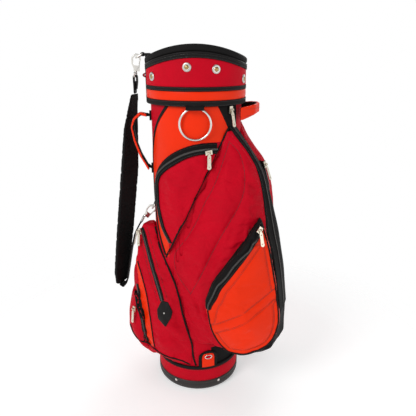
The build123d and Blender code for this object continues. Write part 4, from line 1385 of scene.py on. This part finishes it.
# ---- Base -----------------------------------------------------------------------------------------
def base(stitch):
    def cup(angle):
        foot = 98 * MM
        outer = [(foot * 0.4, 3 * MM), (foot - 4 * MM, 3 * MM), (foot - 2 * MM, 0), (foot + 3 * MM, 0.3 * MM)]
        outer += [(CUP_OUT - 9 * MM + 9 * MM * sin(radians(t)), 13 * MM - 12 * MM * cos(radians(t)))
                  for t in (15, 35, 55, 75, 90)]
        outer += [(CUP_OUT, 21 * MM), (CUP_OUT - 0.8 * MM, 22 * MM), (CUP_OUT, 23 * MM), (CUP_OUT, CUP_TOP),
                  (TUBE - 3 * MM, CUP_TOP), (TUBE - 3 * MM, 7 * MM), (foot * 0.4, 7 * MM)]
        return outer

    around("cup_shell", cup, "cup_plastic", slot="cup_plastic")
    disc = [[polar(radius * MM, angle, height * MM) for radius, height in ((40.5, 3), (40.5, 7))]
            for angle in range(0, 360, 6)]
    rows = [[row_points[k] for row_points in disc] for k in (0, 1)]
    keep(grid_mesh("cup_floor", rows, "cup_plastic"), "bag", "cup_plastic", "base_cup")

    def red_band(angle):
        puff = [(CUP_OUT - 1.3 * MM + 0.6 * MM * sin(pi * k / 8), CUP_TOP + (BAND_TOP - CUP_TOP) * k / 8)
                for k in range(9)]
        return puff + [(TUBE, BAND_TOP), (TUBE, CUP_TOP)]

    around("base_red_band", red_band, "red_nylon", slot="red_nylon", replaced=["base_band"])

    def trim(angle):
        return rounded(TUBE - 1 * MM, CUP_OUT + 1.4 * MM, BAND_TOP, PIPING_TOP, 2.6 * MM)

    around("base_trim", trim, "rib_tape", replaced=["base_piping"])
    lines = [[(polar(CUP_OUT - 0.9 * MM, angle, height), polar(1, angle, 0)) for angle in range(0, 361, 3)]
             for height in (CUP_TOP + 3 * MM, BAND_TOP - 2.5 * MM)]
    row("base_stitches", lines, stitch, 3.8 * MM, 2.6 * MM, 0.7 * MM, 0.6 * MM, 0.2 * MM, slot="red_nylon")


def base_tab():
    """An orange tongue with an eyelet inside a webbing arch, sewn over the base trim."""
    radius = TUBE + 2.2 * MM
    arch_line = on_tube([(4, 78), (4, 104), (7, 114), (15, 120), (23, 114), (26, 104), (26, 78)], radius, 2.5)
    band("base_tab_arch", None, arch_line, 8 * MM, "rib_tape", 2.0 * MM, slot="black_trim",
         replaced=["base_tab_frame"])
    rows = []
    for i in range(25):
        share = i / 24
        angle = 6.5 + 17 * share
        top = (104 + 13 * sqrt(max(0, 1 - (2 * share - 1) ** 4))) * MM
        low = 74 * MM
        out = [polar(radius + 2.4 * MM, angle, low + (top - low) * k / 12) for k in range(13)]
        rows.append(out + [polar(radius, angle, top), polar(radius, angle, low)])
    keep(grid_mesh("base_tab_tongue", rows, "orange_leather"), "bag", "orange_pu", "base_tab")
    oval = []
    for k in range(37):
        turn = 2 * pi * k / 36
        oval.append((15 + 4.6 * cos(turn), 107 + 5.4 * sin(turn)))
    eyelet = on_tube(oval[:-1], radius + 2.6 * MM, 1.6, closed=True)
    piping("base_tab_eyelet", eyelet, 1.3 * MM, "ring_steel", closed=True, slot="steel")
    rows = []
    for i in range(13):
        share = i / 12
        half = 5.0 * sqrt(max(0.004, 1 - (2 * share - 1) ** 2))
        angle = 15 + 4.2 * (2 * share - 1)
        rows.append([polar(radius + lift * MM, angle, (107 + half * k) * MM)
                     for lift, k in ((2.2, -1), (2.75, -1), (2.75, -0.3), (2.75, 0.3), (2.75, 1), (2.2, 1))])
    keep(grid_mesh("base_tab_hole", rows, "red_nylon"), "bag", "red_nylon")


# ---- Metal ----------------------------------------------------------------------------------------
def shaped_plate(name, outline, holes, thick, soft, matrix, finish, body, slot, *replaced):
    """A plate cut to an outline with holes, its edges rounded, put in place by a matrix."""
    curve = bpy.data.curves.new(name, "CURVE")
    curve.dimensions, curve.fill_mode = "2D", "BOTH"
    curve.extrude, curve.bevel_depth, curve.bevel_resolution = thick / 2 - soft, soft, 2
    for loop in [outline] + holes:
        spline = curve.splines.new("POLY")
        spline.points.add(len(loop) - 1)
        for point, (x, y) in zip(spline.points, loop):
            point.co = (x * MM, y * MM, 0, 1)
        spline.use_cyclic_u = True
    flat = bpy.data.objects.new(name + "_flat", curve)
    bpy.context.scene.collection.objects.link(flat)
    mesh = bpy.data.meshes.new_from_object(flat.evaluated_get(bpy.context.evaluated_depsgraph_get()))
    bpy.data.objects.remove(flat)
    mesh.transform(matrix)
    bm = bmesh.new()
    bm.from_mesh(mesh)
    bmesh.ops.remove_doubles(bm, verts=bm.verts, dist=0.01 * MM)
    bmesh.ops.recalc_face_normals(bm, faces=bm.faces)
    bm.to_mesh(mesh)
    bm.free()
    mesh.materials.clear()
    mesh.materials.append(Finish.made[finish])
    return keep(new_piece(name, mesh), body, slot, *replaced)


def circle(x, y, radius, count=16):
    turns = [2 * pi * k / count for k in range(count)]
    return [(x + radius * cos(turn), y + radius * sin(turn)) for turn in turns]


def heart(x, y, size, count=22):
    """A heart-shaped hole, its point towards the plate's free end."""
    points = []
    for k in range(count):
        turn = 2 * pi * k / count
        across = 16 * sin(turn) ** 3
        up = 13 * cos(turn) - 5 * cos(2 * turn) - 2 * cos(3 * turn) - cos(4 * turn)
        points.append((x - up * size / 34, y + across * size / 34))
    return points


def pull_outline(length, width):
    """Narrow at the neck, a little waisted, and round at the free end."""
    half = width / 2
    side = [(2.4, 1.7), (5.2, 2.0), (7.0, half * 0.78), (9.4, half * 0.88), (length * 0.6, half * 0.84),
            (length - half - 3, half * 0.9)]
    end = [(length - half + half * sin(radians(t)), half * cos(radians(t))) for t in range(0, 181, 20)]
    return side + end + [(x, -y) for x, y in reversed(side)]


def zip_hardware():
    """Sliders with their lugs, and waisted pull tabs with a heart cut in the end."""
    for body in sorted(frame["bodies"]):
        if not body.endswith("_pull"):
            continue
        name = body[:-5]
        joint = JOINTS[body]
        pivot, axis = Vector(joint["pos_m"]), Vector(joint["axis"])
        cad = np.array([vertex.co for vertex in NODES[body].data.vertices])
        tip = Vector(cad[np.argmax(np.linalg.norm(cad - np.array(pivot), axis=1))])
        down = tip - pivot
        down = (down - axis * down.dot(axis)).normalized()
        out = axis.cross(down).normalized()
        length = max((cad - np.array(pivot)) @ np.array(down)) / MM
        place = Matrix((down, axis, down.cross(axis))).transposed().to_4x4()
        place.translation = pivot
        holes = [circle(11.5, 0, 1.5), heart(length - 6.0, 0, 4.6)]
        shaped_plate(f"{body}_tab", pull_outline(length, 9.0), holes, 1.5 * MM, 0.45 * MM, place,
                     "zip_nickel", body, "zip_metal", body)
        half_pin = [(4.2, 0.6), (4.0, 1.0), (2.1, 1.0), (2.1, 1.75)]      # how far along, and how thick
        profile = [(-far, radius) for far, radius in half_pin] + half_pin[::-1]
        pin = [[pivot + axis * s * MM + (down * cos(t) + out * sin(t)) * r * MM
                for t in [2 * pi * k / 12 for k in range(12)]] for s, r in profile]
        keep(grid_mesh(f"{body}_knuckle", pin, "zip_nickel"), body, "zip_metal")
        slider(name)


def soften_edges(piece, width, segments, sharper_than):
    """Round off the edges that turn by more than an angle in degrees."""
    soften = piece.modifiers.new("Edges", "BEVEL")
    soften.width, soften.segments, soften.limit_method = width, segments, "ANGLE"
    soften.angle_limit = radians(sharper_than)
    soften.use_clamp_overlap = True
    apply_modifiers(piece)


def slider(name):
    """The CAD slider's mesh with its edges softened."""
    piece = merged_copy(f"{name}_slider_body", f"{name}_slider")
    soften_edges(piece, 0.6 * MM, 3, 35)
    piece.data.materials.clear()
    piece.data.materials.append(Finish.made["zip_nickel"])
    keep(piece, f"{name}_slider", "zip_metal", f"{name}_slider")


def softened_metal(node, body, width=0.7 * MM, finish="ring_steel", slot="steel"):
    """A cast part with its edges rounded off."""
    piece = merged_copy(f"{node}_cast", node)
    soften_edges(piece, width, 2, 40)
    for face in piece.data.polygons:
        face.use_smooth = True
    piece.data.set_sharp_from_angle(angle=radians(45))
    piece.data.materials.clear()
    piece.data.materials.append(Finish.made[finish])
    return keep(piece, body, slot, node)


# ---- Handles and strap ----------------------------------------------------------------------------
HANDLE_STITCH = 3.8 * MM, 2.8 * MM, 0.8 * MM, 0.7 * MM, 0.2 * MM     # spacing, length, width, height, lift


def laid_on(piece, rows):
    """Lines of places with their normals on a piece, one for each row of rays (start, way) cast at it."""
    tree = BVHTree.FromPolygons([vertex.co for vertex in piece.data.vertices],
                                [face.vertices for face in piece.data.polygons])
    lines = []
    for rays in rows:
        met = [tree.ray_cast(start, way)[:2] for start, way in rays]
        lines.append([(place, normal) for place, normal in met if place is not None])
    return lines


def soft_strip(name, node, body, slot, finishes, choose, voxel, rounds=4):
    piece = soft_copy(name, node, voxel, rounds)
    divide = piece.modifiers.new("Finer", "SUBSURF")
    divide.levels = divide.render_levels = 1
    apply_modifiers(piece)
    centre, turned = face_centres(piece)
    colour_faces(piece, finishes, choose(centre, turned))
    return keep(piece, body, slot, node)


def carry_handle(stitch):
    """A padded grip: orange leather outside, black cloth inside."""
    out = polar(1, -84, 0)

    def choose(centre, turned):
        away = turned @ np.array(out) + 0.35 * np.sign(centre[:, 2] - 657) * turned[:, 2]
        return np.where(away > -0.12, 0, 1)

    piece = soft_strip("carry_handle_grip", "carry_handle", "carry_handle", "orange_pu",
                       ["orange_leather", "black_cloth"], choose, 2.2 * MM)
    side = polar(1, 6, 0)
    rays = [[(out * 0.25 + side * hand * MM + Vector((0, 0, height * MM)), -out)
             for height in range(610, 712, 4)] for hand in (-8.5, 8.5)]
    row("carry_handle_stitches", laid_on(piece, rays), stitch, *HANDLE_STITCH, "carry_handle", "orange_pu")


def handle_ends():
    """Black webbing between grip and tube: a stub on the tube, and an end that moves with the grip."""
    side, up = polar(1, 6, 0), Vector((0, 0, 1))
    for place, height, rise in (("top", 722, 3), ("low", 594, 12)):
        for part, body, first, last, thick in (("stub", "bag", -1.5, 8, 3.6),
                                               ("end", "carry_handle", 7, 19.5, 4.4)):
            rows = []
            for k in range(9):
                reach = first + (last - first) * k / 8
                middle = polar(TUBE + reach * MM, -84, (height + rise * max(0, reach - 3.5) / 16) * MM)
                half, deep = 10 * MM, (thick - 0.06 * max(0, reach)) * MM
                rows.append([middle + side * half * cos(t) * min(1, 1.25 * abs(cos(t)) ** -0.4)
                             + up * deep * sin(t) for t in [2 * pi * (m + 0.5) / 16 for m in range(16)]])
            keep(grid_mesh(f"carry_handle_{place}_{part}", rows, "rib_tape"), body, "black_trim")


def lift_handle(stitch):
    """A short padded loop under the collar, orange outside and black inside."""
    def choose(centre, turned):
        away = centre[:, :2] / np.linalg.norm(centre[:, :2], axis=1, keepdims=True)
        return np.where((turned[:, :2] * away).sum(1) > -0.25, 0, 1)

    piece = soft_strip("lift_handle_loop", "lift_handle", "lift_handle", "orange_pu",
                       ["orange_leather", "black_cloth"], choose, 2.2 * MM)
    where = places(piece)
    share = np.clip((np.hypot(where[:, 0], where[:, 1]) - COLLAR) / (30 * MM), 0, 1)
    under = np.clip((733 * MM - where[:, 2]) / (11 * MM), 0, 1)
    where[:, 2] += share * 7 * MM - (1 - share) * under * 9 * MM
    place_all(piece, where)
    rays = [[(polar(0.25, angle, height * MM), -polar(1, angle, 0)) for angle in range(64, 118, 2)]
            for height in (725.5, 740.5)]
    row("lift_handle_stitches", laid_on(piece, rays), stitch, *HANDLE_STITCH, "lift_handle", "orange_pu")


def strap():
    """Shoulder pad with bound edges and quilted cross seams, on flat webbing."""
    piece = soft_copy("shoulder_pad", "strap_pad", 2.6 * MM, 4)
    divide = piece.modifiers.new("Finer", "SUBSURF")
    divide.levels = divide.render_levels = 1
    apply_modifiers(piece)
    where, out = places(piece), normals(piece)
    middle = where[where[:, 2] < 330 * MM].mean(0)
    across = np.clip(np.abs(where[:, 1] - middle[1]) / (19 * MM), 0, 1)
    where[:, 2] -= np.clip(300 * MM - where[:, 2], 0, 1) * 0.5 * (1 - 0.3 * across ** 4)
    wave = np.array([noise.noise(Vector(point) / (30 * MM)) for point in where])
    seams = np.exp(-((np.mod(where[:, 2], 46 * MM) - 23 * MM) / (2.2 * MM)) ** 2)
    inside = (where[:, 2] > 0.29) & (where[:, 2] < 0.74)
    place_all(piece, where + out * (wave * 0.6 * MM - seams * inside * 0.9 * MM)[:, None])
    colour_faces(piece, ["black_cloth"], np.zeros(len(piece.data.polygons)))
    keep(piece, "strap", "black_webbing", "strap_pad")
    soft_strip("strap_webbing_band", "strap_webbing", "strap", "black_webbing", ["rib_tape"],
               lambda centre, turned: np.zeros(len(centre)), 1.6 * MM, rounds=2)


def strap_end_loop():
    """Webbing folded through the upper hook's bar."""
    hook = np.array([vertex.co for vertex in NODES["upper_hook"].data.vertices])
    bar = hook[hook[:, 2] < hook[:, 2].min() + 3.5 * MM].mean(0)
    width = 26 * MM
    path = [(bar[0] - 2 * MM, 0.778), (bar[0] - 3.6 * MM, 0.795)]
    path += [(bar[0] - 3.6 * MM * cos(t), bar[2] + 3.6 * MM * sin(t)) for t in np.linspace(0, pi, 9)]
    path += [(bar[0] + 3.6 * MM, 0.795), (bar[0] + 1 * MM, 0.778)]
    rows = []
    line = [Vector((x, bar[1], z)) for x, z in path]
    for i, point in enumerate(line):
        along = (line[min(i + 1, len(line) - 1)] - line[max(i - 1, 0)]).normalized()
        out = along.cross(Vector((0, 1, 0))).normalized()
        side = Vector((0, width / 2, 0))
        rows.append([point + side + out * MM, point - side + out * MM, point - side - out * 0.6 * MM,
                     point + side - out * 0.6 * MM])
    keep(grid_mesh("strap_end_loop", rows, "rib_tape"), "strap", "black_webbing")


def ring_tabs():
    soft_strip("ring_tab_loops", "d_ring_tabs", "bag", "black_webbing", ["black_cloth"],
               lambda centre, turned: np.zeros(len(centre)), 1.3 * MM, rounds=2)
    soft_strip("towel_ring_loop", "towel_ring_tab", "bag", "black_trim", ["black_cloth"],
               lambda centre, turned: np.zeros(len(centre)), 1.1 * MM, rounds=1)


def plain_finishes():
    """Better finishes for the CAD nodes that stay as they are."""
    finishes = {
        "base_rivets": "ring_steel", "liner_tube": "inner_cloth", "top_cuff": "inner_cloth",
        "divider_top": "divider_plastic", "divider_sleeves": "inner_cloth", "towel_ring": "ring_steel",
        "handle_anchors": "black_cloth", "upper_d_ring": "ring_steel", "lower_d_ring": "ring_steel",
        "leather_patch": "patch_leather",
    }
    for node, finish in finishes.items():
        mesh = NODES[node].data
        mesh.materials.clear()
        mesh.materials.append(Finish.made[finish])


# ---- Floor, light and camera ----------------------------------------------------------------------
def studio():
    floor_mesh = bpy.data.meshes.new("floor")
    size, low = 3.0, -0.0005
    corners = [(-size, -size, low), (size, -size, low), (size, size, low), (-size, size, low)]
    floor_mesh.from_pydata(corners, [], [(0, 1, 2, 3)])
    floor = new_piece("floor", floor_mesh)
    paint = Finish("floor_paint", (0.75, 0.75, 0.75), 0.8, emission_strength=0.42)
    paint.put("Emission Color", (1, 1, 1, 1))
    away = paint.node("ShaderNodeVectorMath", {"operation": "LENGTH"}, {0: paint.place()}, "Value")
    paint.put("Alpha", (2.2 - away * 2.6).clamped())
    floor_mesh.materials.append(paint.material)
    world = bpy.data.worlds.new("studio_sky")
    world.use_nodes = True
    sky = world.node_tree
    where = sky.nodes.new("ShaderNodeTexCoord")
    split = sky.nodes.new("ShaderNodeSeparateXYZ")
    ramp = sky.nodes.new("ShaderNodeValToRGB")
    ramp.color_ramp.elements[0].position, ramp.color_ramp.elements[0].color = 0.14, (1, 1, 1, 1)
    ramp.color_ramp.elements[1].position, ramp.color_ramp.elements[1].color = 0.42, (0.26, 0.26, 0.26, 1)
    sky.links.new(where.outputs["Generated"], split.inputs[0])
    sky.links.new(split.outputs["Z"], ramp.inputs[0])
    sky.links.new(ramp.outputs[0], sky.nodes["Background"].inputs["Color"])
    sky.nodes["Background"].inputs["Strength"].default_value = 1.0
    bpy.context.scene.world = world
    lamps = [("key", (-1.6, -2.0, 2.2), 1.1, 44), ("fill", (2.0, -1.7, 1.2), 1.6, 7),
             ("top", (0.2, 0.3, 2.9), 1.4, 14), ("back", (1.0, 2.2, 1.8), 1.4, 16)]
    for name, place, width, power in lamps:
        light = bpy.data.lights.new(name, "AREA")
        light.size, light.energy = width, power
        lamp = bpy.data.objects.new(name, light)
        bpy.context.scene.collection.objects.link(lamp)
        lamp.location = place
        lamp.rotation_euler = (Vector((0, 0, 0.42)) - Vector(place)).to_track_quat("-Z", "Y").to_euler()
    camera = bpy.data.cameras.new("camera")
    camera.sensor_width, camera.lens = 36.0, 38.77
    eye = bpy.data.objects.new("camera", camera)
    bpy.context.scene.collection.objects.link(eye)
    eye.location = (0.028, -1.095, 0.86)
    eye.rotation_euler = (radians(90 - 19), 0, 0)
    bpy.context.scene.camera = eye
    bpy.context.scene.view_settings.view_transform = "Standard"


# ---- Put the bag together -------------------------------------------------------------------------
def build_bag():
    make_finishes()
    plain_finishes()
    stitch_black = row_tree("trim_stitch_row", "stitch", "coil_grey")
    stitch_orange = row_tree("grip_stitch_row", "stitch", "brown_thread")
    stitch_red = row_tree("band_stitch_row", "stitch", "red_thread")
    skin = Skin()
    tube_cover(skin)
    upper_pocket(skin)
    main_pocket(skin)
    side_pocket(skin)
    left_pocket(skin)
    low_left_pocket(skin)
    ball_pocket(skin)
    tube_trims()
    pocket_trims(skin)
    rim()
    collar(stitch_black)
    snap_studs()
    base(stitch_red)
    base_tab()
    zip_hardware()
    carry_handle(stitch_orange)
    handle_ends()
    lift_handle(stitch_orange)
    strap()
    strap_end_loop()
    ring_tabs()
    for node in ("upper_hook", "lower_hook"):
        softened_metal(node, "strap")
    softened_metal("upper_hook_gate", "upper_gate", 0.3 * MM)
    softened_metal("lower_hook_gate", "lower_gate", 0.3 * MM)
    studio()


build_bag()
